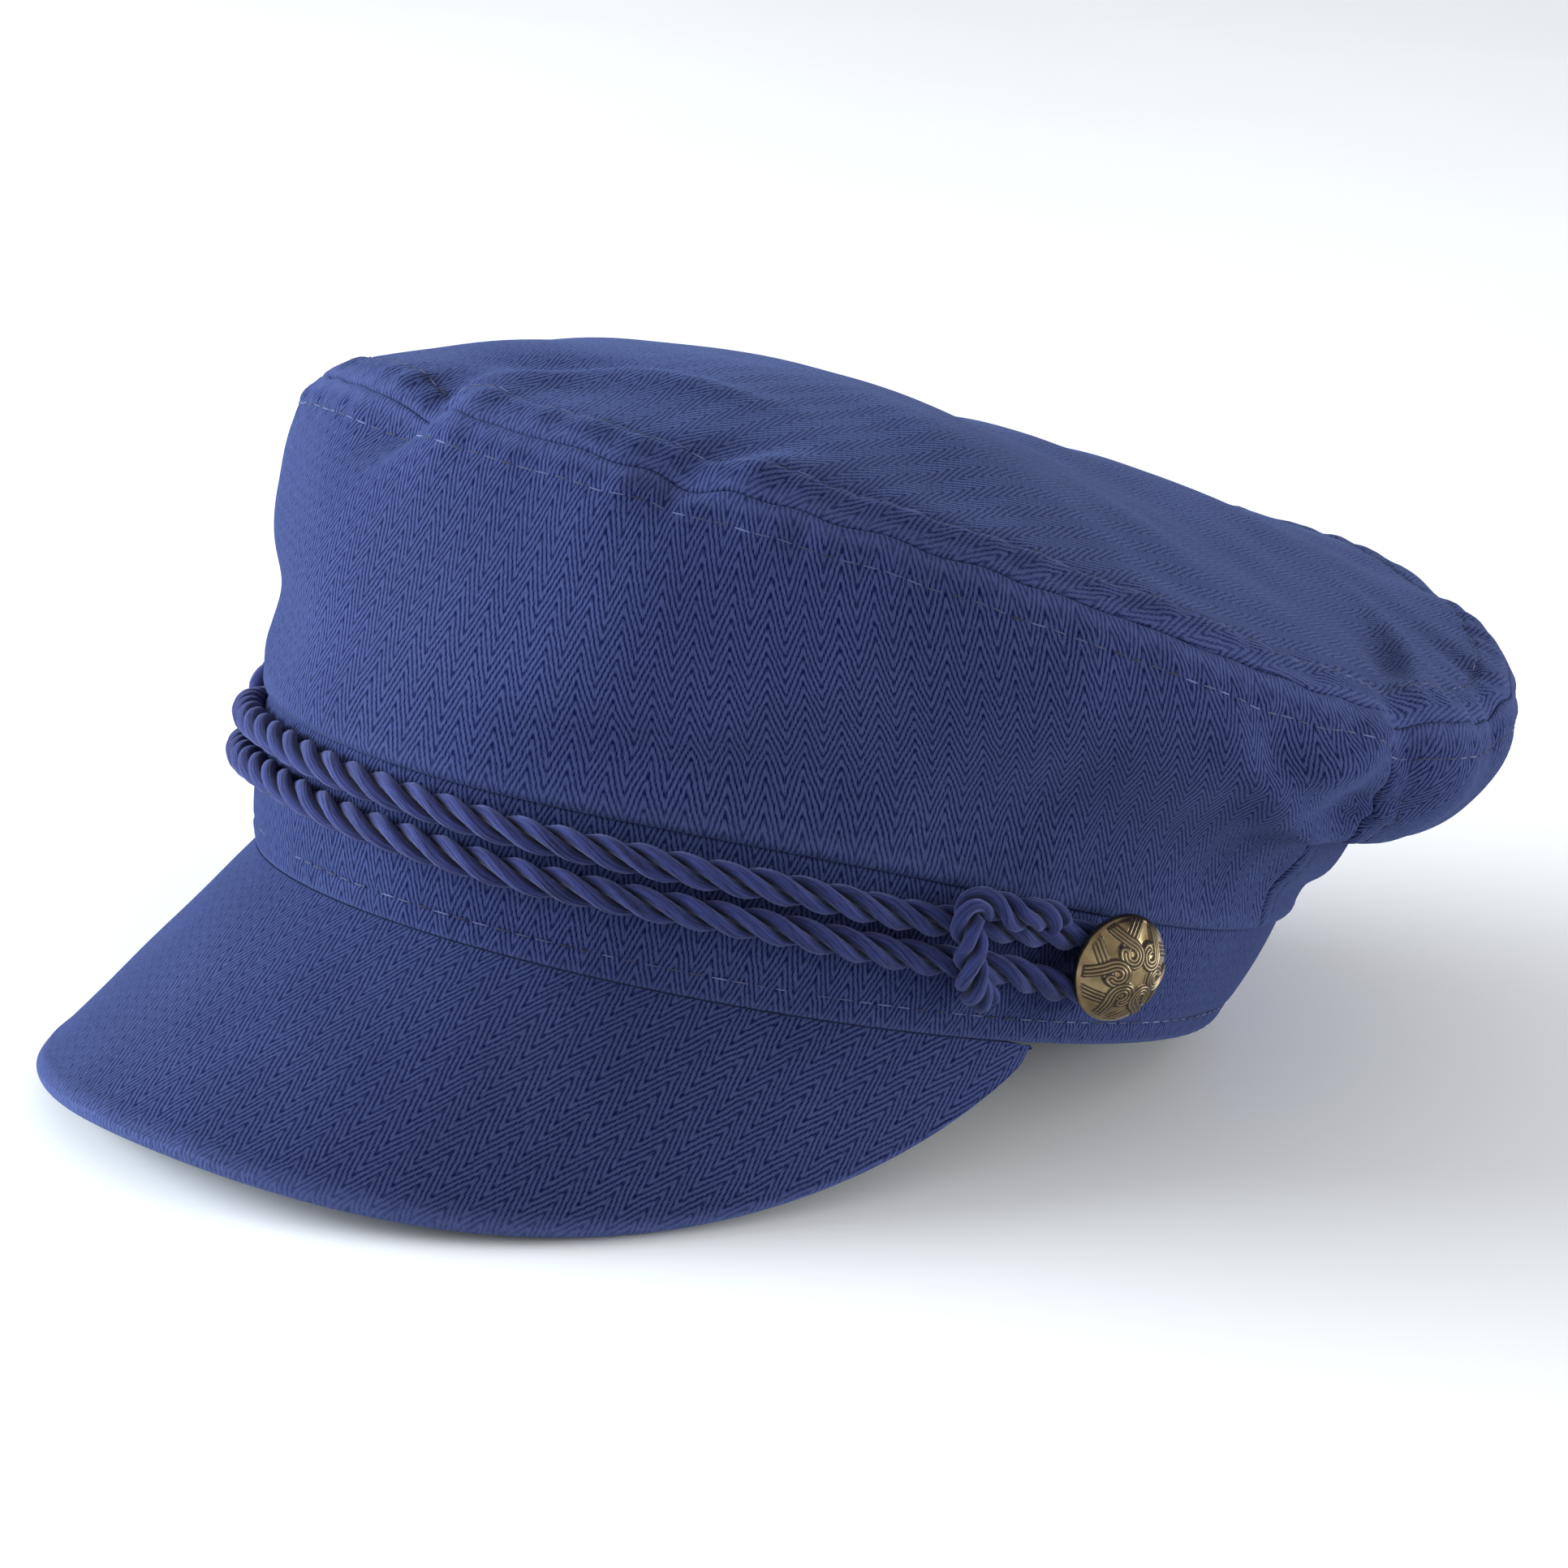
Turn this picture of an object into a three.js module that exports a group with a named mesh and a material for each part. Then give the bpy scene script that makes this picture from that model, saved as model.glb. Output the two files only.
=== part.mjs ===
// Breton fisherman cap: a soft cotton crown over an upright band, a bent peak, two ropes with a knot at
// each end, and two domed buttons. Millimetres, +Z up, front of the cap towards -Y, wearer's left +X.
import * as THREE from 'three';

// Head opening and band
const HEAD_HALF_WIDTH = 82;
const HEAD_HALF_LENGTH = 100;
const HEAD_EGG = 0.03;
const BAND_HEIGHT = 26;
const BAND_WALL = 2.4;
const BAND_BELLY = 1;
const FLARE_FRONT = 3.5;
const FLARE_SIDE = 3.7;
const FLARE_REAR = 12.5;

// Crown
const CROWN_HALF_WIDTH = 110.8;
const CROWN_HALF_LENGTH = 119.7;
const CROWN_SETBACK = 22.9;
const SEAM_HEIGHT = 79;
const REAR_SAG = 7;
const REAR_SAG_ANGLE = 28;
const DOME_HEIGHT = 21.6;
const CLOTH = 1.6;
const HEM_LAP = 0.4;
const SIDE_SEAM_FOOT_ANGLE = 114;
const SIDE_SEAM_HEAD_ANGLE = 92;

// Peak
const PEAK_LENGTH = 58.8;
const PEAK_SPREAD = 80;
const PEAK_DROP = 40;
const PEAK_CORNER_DROP = 20;
const PEAK_WALL = 3;

// Ropes, knots and buttons
const ROPE_RADIUS = 2.95;
const ROPE_LAY = 21;
const KNOT_RADIUS = 2.6;
const BUTTON_AT = 84;
const BUTTON_UP = 0.66;
const BUTTON_RADIUS = 9.6;
const BUTTON_RIM = 1.6;
const BUTTON_DOME = 5;
const BUTTON_RELIEF = 0.45;
const BUTTON_TURN = 6;
const SHANK_RADIUS = 1.1;

// Fits
const GAP = 0.3;
const SEAM_GAP = 0.36;
const FLOOR_PRESS = 0.8;

// Mesh fineness
const FRONT_STEPS = 46;
const REAR_STEPS = 28;
const ROUND_STEPS = 72;
const SIDE_STEPS = 9;
const TOP_STEPS = 6;
const PEAK_STEPS = 36;
const ROPE_STEP = 3.6;
const BUTTON_SIDES = 24;

// Waves round the cap, as shares of the size that they follow
const BAND_WAVES = [
  { wave: 1, share: 0.042 },
  { wave: 2, share: 0.077 },
  { wave: 3, share: -0.079 },
];
const SEAM_WAVES = [
  { wave: 1, share: 0.008 },
  { wave: 2, share: 0.128 },
  { wave: 3, share: -0.048 },
];
const OUTLINE_WAVES = [
  { wave: 1, share: -0.037 },
  { wave: 3, share: 0.008 },
];

// Bend of the crown side at three places: how far its two handles lean out and rise, as shares of its drop
const SIDE_BENDS = {
  front: { footLean: 0.01, footRise: 0.39, headLean: 0.147, headFall: 0.46 },
  side: { footLean: 0, footRise: 0.575, headLean: 0.16, headFall: 0.57 },
  rear: { footLean: -0.02, footRise: 0.045, headLean: 0.096, headFall: 0.47 },
};

// Degrees that the folds under the overhanging rear turn up
const UNDER_TILT = 75;

// Folds and dents of the crown. turn: degrees from the front. rise: from the top seam, as a share of the
// side's drop. wide: degrees. tall: share of the drop. slant: degrees that the fold turns over one drop.
// deep: share of the drop, below 0 is outwards.
const FOLDS = [
  { turn: -13, rise: -0.05, wide: 5, tall: 0.16, slant: 10, deep: 0.07 },
  { turn: 19, rise: 0.03, wide: 5, tall: 0.16, slant: 15, deep: 0.04 },
  { turn: 33, rise: -0.66, wide: 16, tall: 0.1, slant: 0, deep: 0.022 },
  { turn: -34, rise: -0.72, wide: 18, tall: 0.12, slant: 0, deep: 0.035 },
  { turn: 85.5, rise: -0.17, wide: 5, tall: 0.16, slant: 28, deep: -0.045 },
  { turn: 96, rise: -0.28, wide: 6.5, tall: 0.14, slant: 0, deep: 0.09 },
  { turn: 96, rise: 0, wide: 5, tall: 0.16, slant: 0, deep: 0.05 },
  { turn: 115, rise: 0, wide: 5, tall: 0.2, slant: 0, deep: 0.04 },
  { turn: 119, rise: -0.62, wide: 16, tall: 0.1, slant: 0, deep: 0.07 },
  { turn: -88, rise: 0.02, wide: 5, tall: 0.45, slant: 6, deep: 0.06 },
  { turn: -97, rise: -0.28, wide: 7, tall: 0.14, slant: 0, deep: 0.07 },
  { turn: -118, rise: 0, wide: 6, tall: 0.35, slant: 0, deep: 0.05 },
  { turn: -122, rise: -0.62, wide: 18, tall: 0.1, slant: 0, deep: 0.06 },
  { turn: 150, rise: -0.1, wide: 7, tall: 0.5, slant: 10, deep: 0.05 },
  { turn: -158, rise: -0.1, wide: 7, tall: 0.5, slant: -12, deep: 0.045 },
  { turn: 180, rise: -0.3, wide: 34, tall: 0.25, slant: 0, deep: -0.08 },
  { turn: 180, rise: -0.74, wide: 64, tall: 0.13, slant: 0, deep: 0.07 },
  { turn: 180, rise: -0.42, wide: 64, tall: 0.2, slant: 0, deep: -0.045 },
];

// Heights of the rope centres on the band, as shares of its height, at degrees from the front
const ROPE_HEIGHTS = [
  { turn: -87, upper: 0.85, lower: 0.48 },
  { turn: -80, upper: 0.83, lower: 0.48 },
  { turn: -71, upper: 0.8, lower: 0.535 },
  { turn: -62, upper: 0.765, lower: 0.525 },
  { turn: -40, upper: 0.82, lower: 0.58 },
  { turn: -20, upper: 0.85, lower: 0.61 },
  { turn: 0, upper: 0.835, lower: 0.585 },
  { turn: 22, upper: 0.8, lower: 0.55 },
  { turn: 45, upper: 0.785, lower: 0.55 },
  { turn: 62, upper: 0.765, lower: 0.525 },
  { turn: 71, upper: 0.8, lower: 0.535 },
  { turn: 80, upper: 0.83, lower: 0.48 },
  { turn: 87, upper: 0.85, lower: 0.48 },
];

// Path of the knotted cord: degrees forward of its button, height as a share of the band's height, and
// how proud of the band its centre lies, as a share of the ropes' diameter
const KNOT_PATH = [
  { ahead: 12.5, up: 0.27, proud: 0.6 },
  { ahead: 15, up: 0.32, proud: 0.95 },
  { ahead: 17, up: 0.44, proud: 1.42 },
  { ahead: 18, up: 0.575, proud: 1.56 },
  { ahead: 18.5, up: 0.69, proud: 1.56 },
  { ahead: 19.3, up: 0.79, proud: 1.56 },
  { ahead: 19.6, up: 0.875, proud: 1.53 },
  { ahead: 18.8, up: 0.945, proud: 1.38 },
  { ahead: 17.2, up: 0.975, proud: 1.31 },
  { ahead: 15.6, up: 0.955, proud: 1.4 },
  { ahead: 14.1, up: 0.945, proud: 1.53 },
  { ahead: 12.4, up: 0.97, proud: 1.54 },
  { ahead: 10.8, up: 0.975, proud: 1.53 },
  { ahead: 9.6, up: 0.94, proud: 1.46 },
  { ahead: 9.3, up: 0.9, proud: 1.5 },
];

const UP = new THREE.Vector3(0, 0, 1);
const SIDE_DROP = SEAM_HEIGHT - BAND_HEIGHT;
const radians = THREE.MathUtils.degToRad;

function waves(table, angle) {
  return table.reduce((sum, row) => sum + row.share * Math.cos(row.wave * angle), 1);
}

// Degrees from -180 to 180
function wrapped(turn) {
  return THREE.MathUtils.euclideanModulo(turn + 180, 360) - 180;
}

// One value that changes smoothly from the front, over both sides, to the rear
function round(front, side, rear, angle) {
  const c = Math.cos(angle);
  return side + ((front - rear) / 2) * c + ((front + rear) / 2 - side) * c * c;
}

function levelNormal(curve, angle) {
  const step = 0.01;
  const along = curve(angle + step).sub(curve(angle - step));
  return new THREE.Vector3(along.y, -along.x, 0).normalize();
}

function normalOf(surface, a, b) {
  const step = 0.004;
  const middle = THREE.MathUtils.clamp(b, step, 1 - step);
  const alongA = surface(a + step, middle).sub(surface(a - step, middle));
  const alongB = surface(a, middle + step).sub(surface(a, middle - step));
  return alongA.cross(alongB).normalize();
}

// Band
function bandFoot(angle) {
  const x = HEAD_HALF_WIDTH * Math.sin(angle) * (1 - HEAD_EGG * Math.cos(angle));
  return new THREE.Vector3(x, -HEAD_HALF_LENGTH * Math.cos(angle), 0);
}

function bandHead(angle) {
  const flare = round(FLARE_FRONT, FLARE_SIDE, FLARE_REAR, angle);
  const point = bandFoot(angle).addScaledVector(levelNormal(bandFoot, angle), flare);
  point.z = BAND_HEIGHT * waves(BAND_WAVES, angle);
  return point;
}

function bandSurface(angle, share) {
  const belly = BAND_BELLY * 4 * share * (1 - share);
  return bandFoot(angle)
    .lerp(bandHead(angle), share)
    .addScaledVector(levelNormal(bandFoot, angle), belly);
}

function onBand(angle, share, proud) {
  return bandSurface(angle, share).addScaledVector(normalOf(bandSurface, angle, share), proud);
}

// Crown
function seamLine(angle) {
  const spread = waves(OUTLINE_WAVES, angle);
  const fromRear = wrapped(THREE.MathUtils.radToDeg(angle) - 180) / REAR_SAG_ANGLE;
  return new THREE.Vector3(
    CROWN_HALF_WIDTH * Math.sin(angle) * spread,
    CROWN_SETBACK - CROWN_HALF_LENGTH * Math.cos(angle) * spread,
    SEAM_HEIGHT * waves(SEAM_WAVES, angle) - REAR_SAG * Math.exp(-fromRear * fromRear),
  );
}

function foldDepth(angle, rise) {
  const turned = THREE.MathUtils.radToDeg(angle);
  return FOLDS.reduce((sum, row) => {
    const across = wrapped(turned - row.turn - row.slant * (rise - row.rise)) / row.wide;
    const along = (rise - row.rise) / row.tall;
    return sum + row.deep * Math.exp(-across * across - along * along);
  }, 0);
}

// Direction in which a fold sinks: level on the side, down on the top, between them at the seam, and
// up under the overhanging rear
function foldInwards(angle, rise) {
  const over = (Math.PI / 4) * (1 + Math.tanh(rise / 0.15));
  const rearShare = (1 - Math.cos(angle)) / 2;
  const under = radians(UNDER_TILT) * rearShare * 0.5 * (1 - Math.tanh((rise + 0.35) / 0.12));
  const tilt = over - under;
  return levelNormal(seamLine, angle)
    .multiplyScalar(-Math.cos(tilt))
    .addScaledVector(UP, -Math.sin(tilt));
}

function folded(point, angle, rise) {
  return point.addScaledVector(foldInwards(angle, rise), SIDE_DROP * foldDepth(angle, rise));
}

function sideBend(name, angle) {
  const { front, side, rear } = SIDE_BENDS;
  return SIDE_DROP * round(front[name], side[name], rear[name], angle);
}

function sideSurface(angle, share) {
  const out = levelNormal(seamLine, angle);
  const foot = bandHead(angle)
    .addScaledVector(levelNormal(bandFoot, angle), CLOTH + GAP)
    .addScaledVector(UP, -HEM_LAP);
  const head = seamLine(angle);
  const low = foot.clone()
    .addScaledVector(levelNormal(bandFoot, angle), sideBend('footLean', angle))
    .addScaledVector(UP, sideBend('footRise', angle));
  const high = head.clone()
    .addScaledVector(out, sideBend('headLean', angle))
    .addScaledVector(UP, -sideBend('headFall', angle));
  const point = new THREE.CubicBezierCurve3(foot, low, high, head).getPoint(share);
  const fade = Math.min(1, share / 0.15);
  return point.lerp(folded(point.clone(), angle, share - 1), fade);
}

function topSurface(angle, share) {
  const r = 1 - share;
  const centre = new THREE.Vector3(0, CROWN_SETBACK, SEAM_HEIGHT);
  const dome = DOME_HEIGHT * (1 - r * r) * (1 + 0.57 * r * Math.cos(angle)) - 0.1 * DOME_HEIGHT * share ** 2;
  const point = centre.lerp(seamLine(angle), r).addScaledVector(UP, dome);
  const rise = (share * CROWN_HALF_WIDTH) / SIDE_DROP;
  return folded(point, angle, rise);
}

// The walls of side and top meet at the seam on the line that halves their angle
function towardsSeam(normal, angle, distance) {
  const shared = normalOf(sideSurface, angle, 1).add(normalOf(topSurface, angle, 0)).normalize();
  return normal.lerp(shared, Math.exp(-distance / (2 * CLOTH))).normalize();
}

function sidePanel(fromTurn, toTurn, steps) {
  const gapShare = SEAM_GAP / 2 / SIDE_DROP;
  return (i, j) => {
    const share = (1 - gapShare) * (j / SIDE_STEPS);
    const gapTurn = THREE.MathUtils.radToDeg(SEAM_GAP / 2 / HEAD_HALF_WIDTH);
    const low = fromTurn(share) + gapTurn;
    const high = toTurn(share) - gapTurn;
    const angle = radians(low + (high - low) * (i / steps));
    const point = sideSurface(angle, share);
    const normal = towardsSeam(normalOf(sideSurface, angle, share), angle, (1 - share) * SIDE_DROP);
    return { point, normal };
  };
}

function sideSeamTurn(share) {
  return SIDE_SEAM_FOOT_ANGLE + (SIDE_SEAM_HEAD_ANGLE - SIDE_SEAM_FOOT_ANGLE) * share;
}

// Closed solids
function geometryOf(points, faces) {
  const kept = faces.filter(([a, b, c]) => a !== b && b !== c && a !== c);
  const geometry = new THREE.BufferGeometry();
  geometry.setAttribute('position', new THREE.Float32BufferAttribute(points.flatMap((p) => p.toArray()), 3));
  geometry.setIndex(kept.flat());
  geometry.computeVertexNormals();
  return geometry;
}

// A wall of even thickness under a grid of points. loop joins its ends; pole closes its last row to a point.
function wallSolid(sample, columns, rows, wall, { loop = false, pole = false } = {}) {
  const outer = [];
  const inner = [];
  const across = loop ? columns : columns + 1;
  for (let j = 0; j <= rows; j += 1) {
    for (let i = 0; i < across; i += 1) {
      const { point, normal, thick = wall } = sample(i, j);
      outer.push(point);
      inner.push(point.clone().addScaledVector(normal, -thick));
    }
  }
  const offset = outer.length;
  const at = (i, j) => (pole && j === rows ? j * across : j * across + (loop ? i % across : i));
  const faces = [];
  const quad = (a, b, c, d) => faces.push([a, b, c], [a, c, d]);
  for (let j = 0; j < rows; j += 1) {
    for (let i = 0; i < columns; i += 1) {
      const [a, b, c, d] = [at(i, j), at(i + 1, j), at(i + 1, j + 1), at(i, j + 1)];
      quad(a, b, c, d);
      quad(d + offset, c + offset, b + offset, a + offset);
    }
  }
  for (let i = 0; i < columns; i += 1) {
    quad(at(i, 0) + offset, at(i + 1, 0) + offset, at(i + 1, 0), at(i, 0));
    if (!pole) quad(at(i, rows), at(i + 1, rows), at(i + 1, rows) + offset, at(i, rows) + offset);
  }
  if (!loop) {
    for (let j = 0; j < rows; j += 1) {
      quad(at(0, j), at(0, j + 1), at(0, j + 1) + offset, at(0, j) + offset);
      quad(at(columns, j) + offset, at(columns, j + 1) + offset, at(columns, j + 1), at(columns, j));
    }
  }
  return geometryOf([...outer, ...inner], faces);
}

// A closed tube of sections, each a ring of points
function tubeSolid(rings) {
  const sides = rings[0].length;
  const points = rings.flat();
  const faces = [];
  for (let k = 0; k < rings.length - 1; k += 1) {
    for (let i = 0; i < sides; i += 1) {
      const a = k * sides + i;
      const b = k * sides + ((i + 1) % sides);
      faces.push([a, b, b + sides], [a, b + sides, a + sides]);
    }
  }
  const last = (rings.length - 1) * sides;
  for (let i = 1; i < sides - 1; i += 1) {
    faces.push([0, i + 1, i]);
    faces.push([last, last + i, last + i + 1]);
  }
  return geometryOf(points, faces);
}

function awayFromHead(point) {
  return new THREE.Vector3(point.x / HEAD_HALF_WIDTH ** 2, point.y / HEAD_HALF_LENGTH ** 2, 0).normalize();
}

// A rope whose three strands turn once in each lay, along a curve that lies on the band
function ropeSolid(curve, radius) {
  const steps = Math.round(curve.getLength() / ROPE_STEP);
  const sides = 9;
  const lobe = 0.09;
  const rings = [];
  for (let k = 0; k <= steps; k += 1) {
    const u = k / steps;
    const centre = curve.getPointAt(u);
    const along = curve.getTangentAt(u);
    const outwards = awayFromHead(centre);
    const out = outwards.addScaledVector(along, -outwards.dot(along)).normalize();
    const beside = along.clone().cross(out);
    const twist = (2 * Math.PI * u * curve.getLength()) / ROPE_LAY;
    const ring = [];
    for (let i = 0; i < sides; i += 1) {
      const angle = (2 * Math.PI * i) / sides;
      const reach = radius * (1 - lobe + lobe * Math.cos(3 * angle));
      const turned = angle + (twist % (2 * Math.PI));
      ring.push(centre.clone()
        .addScaledVector(out, reach * Math.cos(turned))
        .addScaledVector(beside, reach * Math.sin(turned)));
    }
    rings.push(ring);
  }
  return tubeSolid(rings);
}

// Pieces
function makeCrownTop() {
  const sample = (i, j) => {
    const angle = (2 * Math.PI * i) / ROUND_STEPS;
    const gapShare = SEAM_GAP / 2 / CROWN_HALF_WIDTH;
    const share = gapShare + (1 - gapShare) * (j / TOP_STEPS) ** 1.25;
    if (j === TOP_STEPS) {
      return { point: topSurface(0, 1), normal: UP };
    }
    const normal = towardsSeam(normalOf(topSurface, angle, share), angle, share * CROWN_HALF_WIDTH);
    return { point: topSurface(angle, share), normal };
  };
  return wallSolid(sample, ROUND_STEPS, TOP_STEPS, CLOTH, { loop: true, pole: true });
}

function makeCrownSideFront() {
  const sample = sidePanel((share) => -sideSeamTurn(share), sideSeamTurn, FRONT_STEPS);
  return wallSolid(sample, FRONT_STEPS, SIDE_STEPS, CLOTH);
}

function makeCrownSideRear() {
  const sample = sidePanel(sideSeamTurn, (share) => 360 - sideSeamTurn(share), REAR_STEPS);
  return wallSolid(sample, REAR_STEPS, SIDE_STEPS, CLOTH);
}

function peakSurface(angle, share) {
  const spread = radians(PEAK_SPREAD);
  const u = THREE.MathUtils.clamp(angle / spread, -1, 1);
  const length = PEAK_LENGTH * Math.max(1 - Math.abs(u) ** 3.7, 0) ** 0.93;
  const swing = 0.14 * angle;
  const drop = radians(PEAK_DROP + PEAK_CORNER_DROP * (1 - Math.cos(angle)));
  const away = new THREE.Vector3(
    Math.sin(swing) * Math.cos(drop),
    -Math.cos(swing) * Math.cos(drop),
    -Math.sin(drop),
  );
  return bandFoot(angle).addScaledVector(UP, -GAP).addScaledVector(away, length * share);
}

// Direction straight out of the peak's upper face half way along it
function peakNormal(angle) {
  const step = 0.02;
  const across = peakSurface(angle + step, 0.5).sub(peakSurface(angle - step, 0.5));
  const along = peakSurface(angle, 1).sub(peakSurface(angle, 0));
  return along.cross(across).normalize();
}

// The peak has a tab that is sewn under the band's wall, and a rim that rounds off
function makePeak() {
  const rows = 7;
  const reach = radians(PEAK_SPREAD) * 0.985;
  const rimShare = 0.3;
  const sample = (i, j) => {
    const angle = reach * Math.sin((Math.PI / 2) * ((2 * i) / PEAK_STEPS - 1));
    const normal = peakNormal(angle);
    if (j === 0) {
      const tab = peakSurface(angle, 0).addScaledVector(levelNormal(bandFoot, angle), -BAND_WALL);
      return { point: tab, normal: UP };
    }
    if (j === 1) {
      const bend = normal.clone().add(UP).normalize();
      return { point: peakSurface(angle, 0), normal: bend };
    }
    if (j < rows) {
      return { point: peakSurface(angle, (j - 1) / (rows - 2)), normal };
    }
    const away = peakSurface(angle, 1).sub(peakSurface(angle, 0)).normalize();
    const point = peakSurface(angle, 1)
      .addScaledVector(away, rimShare * PEAK_WALL)
      .addScaledVector(normal, -rimShare * PEAK_WALL);
    return { point, normal, thick: PEAK_WALL * (1 - 2 * rimShare) };
  };
  return wallSolid((i, j) => sample(PEAK_STEPS - i, j), PEAK_STEPS, rows, PEAK_WALL);
}

// How far the cap leans back when it rests on the peak's rim and on the rear of the band
function restingPitch(peak) {
  const place = peak.getAttribute('position');
  let pitch = 0;
  for (let i = 0; i < place.count; i += 1) {
    const lean = Math.atan2(FLOOR_PRESS - place.getZ(i), HEAD_HALF_LENGTH - place.getY(i));
    pitch = Math.max(pitch, lean);
  }
  return pitch;
}

// The band's cloth is pressed flat where its rear edge rests
function makeBand(pitch) {
  const rows = 2;
  const sample = (i, j) => {
    const angle = (2 * Math.PI * i) / ROUND_STEPS;
    const normal = j === 0 ? levelNormal(bandFoot, angle) : normalOf(bandSurface, angle, j / rows);
    return { point: bandSurface(angle, j / rows), normal };
  };
  const band = wallSolid(sample, ROUND_STEPS, rows, BAND_WALL, { loop: true });
  const place = band.getAttribute('position');
  for (let i = 0; i < place.count; i += 1) {
    const floor = FLOOR_PRESS + (place.getY(i) - HEAD_HALF_LENGTH) * Math.tan(pitch);
    place.setZ(i, Math.max(place.getZ(i), floor));
  }
  return band;
}

function easedShare(table, name, turn) {
  const next = table.findIndex((row, k) => k > 0 && row.turn >= turn);
  const before = table[next - 1];
  const after = table[next];
  const t = THREE.MathUtils.smoothstep(turn, before.turn, after.turn);
  return before[name] + (after[name] - before[name]) * t;
}

function makeRope(name) {
  const proud = ROPE_RADIUS + GAP;
  const first = ROPE_HEIGHTS[0].turn;
  const last = ROPE_HEIGHTS.at(-1).turn;
  const stretches = 58;
  const points = [];
  for (let k = 0; k <= stretches; k += 1) {
    const turn = first + ((last - first) * k) / stretches;
    points.push(onBand(radians(turn), easedShare(ROPE_HEIGHTS, name, turn), proud));
  }
  return ropeSolid(new THREE.CatmullRomCurve3(points), ROPE_RADIUS);
}

function makeKnot(side) {
  const points = KNOT_PATH.map((row) => {
    const angle = radians(side * (BUTTON_AT - row.ahead));
    return onBand(angle, row.up, row.proud * 2 * ROPE_RADIUS);
  });
  return ropeSolid(new THREE.CatmullRomCurve3(points), KNOT_RADIUS);
}

// Height of the button's face: a dome with six raised curls round a star
function buttonFace(share, angle) {
  const dome = BUTTON_DOME * (1 - share ** 2);
  const curl = Math.max(0, 1 - ((share - 0.42) / 0.17) ** 2) * (0.5 + 0.5 * Math.cos(6 * angle));
  return dome + BUTTON_RELIEF * curl;
}

function makeButton(side) {
  const angle = radians(side * BUTTON_AT);
  const foot = onBand(angle, BUTTON_UP, GAP);
  const turn = -side * radians(BUTTON_TURN);
  const out = normalOf(bandSurface, angle, BUTTON_UP).applyAxisAngle(UP, turn);
  const beside = new THREE.Vector3().crossVectors(UP, out).normalize();
  const above = new THREE.Vector3().crossVectors(out, beside);
  const back = 2 * ROPE_RADIUS + GAP + BUTTON_RADIUS * Math.sin(radians(BUTTON_TURN));
  const ring = (radius, height) => {
    const points = [];
    for (let i = 0; i < BUTTON_SIDES; i += 1) {
      const turned = (2 * Math.PI * i) / BUTTON_SIDES;
      points.push(foot.clone()
        .addScaledVector(out, height(turned))
        .addScaledVector(beside, radius * Math.cos(turned))
        .addScaledVector(above, radius * Math.sin(turned)));
    }
    return points;
  };
  const rings = [
    ring(SHANK_RADIUS, () => 0),
    ring(SHANK_RADIUS, () => back),
    ring(BUTTON_RADIUS * 0.96, () => back),
    ring(BUTTON_RADIUS, () => back + BUTTON_RIM / 2),
  ];
  const steps = 7;
  for (let k = 0; k < steps; k += 1) {
    const share = 0.97 * (1 - k / steps);
    rings.push(ring(BUTTON_RADIUS * share, (turned) => back + BUTTON_RIM + buttonFace(share, turned)));
  }
  return tubeSolid(rings);
}

const SIDE_NAMES = { left: 1, right: -1 };
const clothMaterial = new THREE.MeshStandardMaterial({ color: '#37488a', roughness: 0.9, metalness: 0 });
const peakMaterial = new THREE.MeshStandardMaterial({ color: '#33427f', roughness: 0.9, metalness: 0 });
const ropeMaterial = new THREE.MeshStandardMaterial({ color: '#393c7a', roughness: 0.95, metalness: 0 });
const brassMaterial = new THREE.MeshStandardMaterial({ color: '#8f8055', roughness: 0.35, metalness: 1 });

const cap = new THREE.Group();

function addPiece(name, geometry, material) {
  const mesh = new THREE.Mesh(geometry, material);
  mesh.name = name;
  cap.add(mesh);
}

const peakGeometry = makePeak();
const pitch = restingPitch(peakGeometry);
addPiece('crown_top', makeCrownTop(), clothMaterial);
addPiece('crown_side_front', makeCrownSideFront(), clothMaterial);
addPiece('crown_side_rear', makeCrownSideRear(), clothMaterial);
addPiece('band', makeBand(pitch), clothMaterial);
addPiece('peak', peakGeometry, peakMaterial);
addPiece('rope_upper', makeRope('upper'), ropeMaterial);
addPiece('rope_lower', makeRope('lower'), ropeMaterial);
for (const [name, side] of Object.entries(SIDE_NAMES)) {
  addPiece(`knot_${name}`, makeKnot(side), ropeMaterial);
  addPiece(`button_${name}`, makeButton(side), brassMaterial);
}

// The cap leans back on its peak, and its frame stands on the floor under the middle of its outline
cap.rotation.x = -pitch;
cap.position.z = HEAD_HALF_LENGTH * Math.sin(pitch) - FLOOR_PRESS * Math.cos(pitch);
cap.updateMatrixWorld(true);
const outline = new THREE.Box3().setFromObject(cap, true);
cap.position.y -= (outline.min.y + outline.max.y) / 2;
cap.position.x -= (outline.min.x + outline.max.x) / 2;

const assembly = new THREE.Group();
assembly.add(cap);

export default assembly;
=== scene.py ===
"""Looks of the breton fisherman cap: cotton herringbone cloth, twisted ropes, brass buttons and stitching.

The cap's own frame is in millimetres: +Z up from the band's lower edge, the front towards -Y, the wearer's
left at +X. The finished cap leans back on its peak and on the rear of its band, as the frame has it.
"""

import math
from collections import namedtuple

import bmesh
import bpy
import numpy as np
from mathutils import Matrix, Vector


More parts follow.
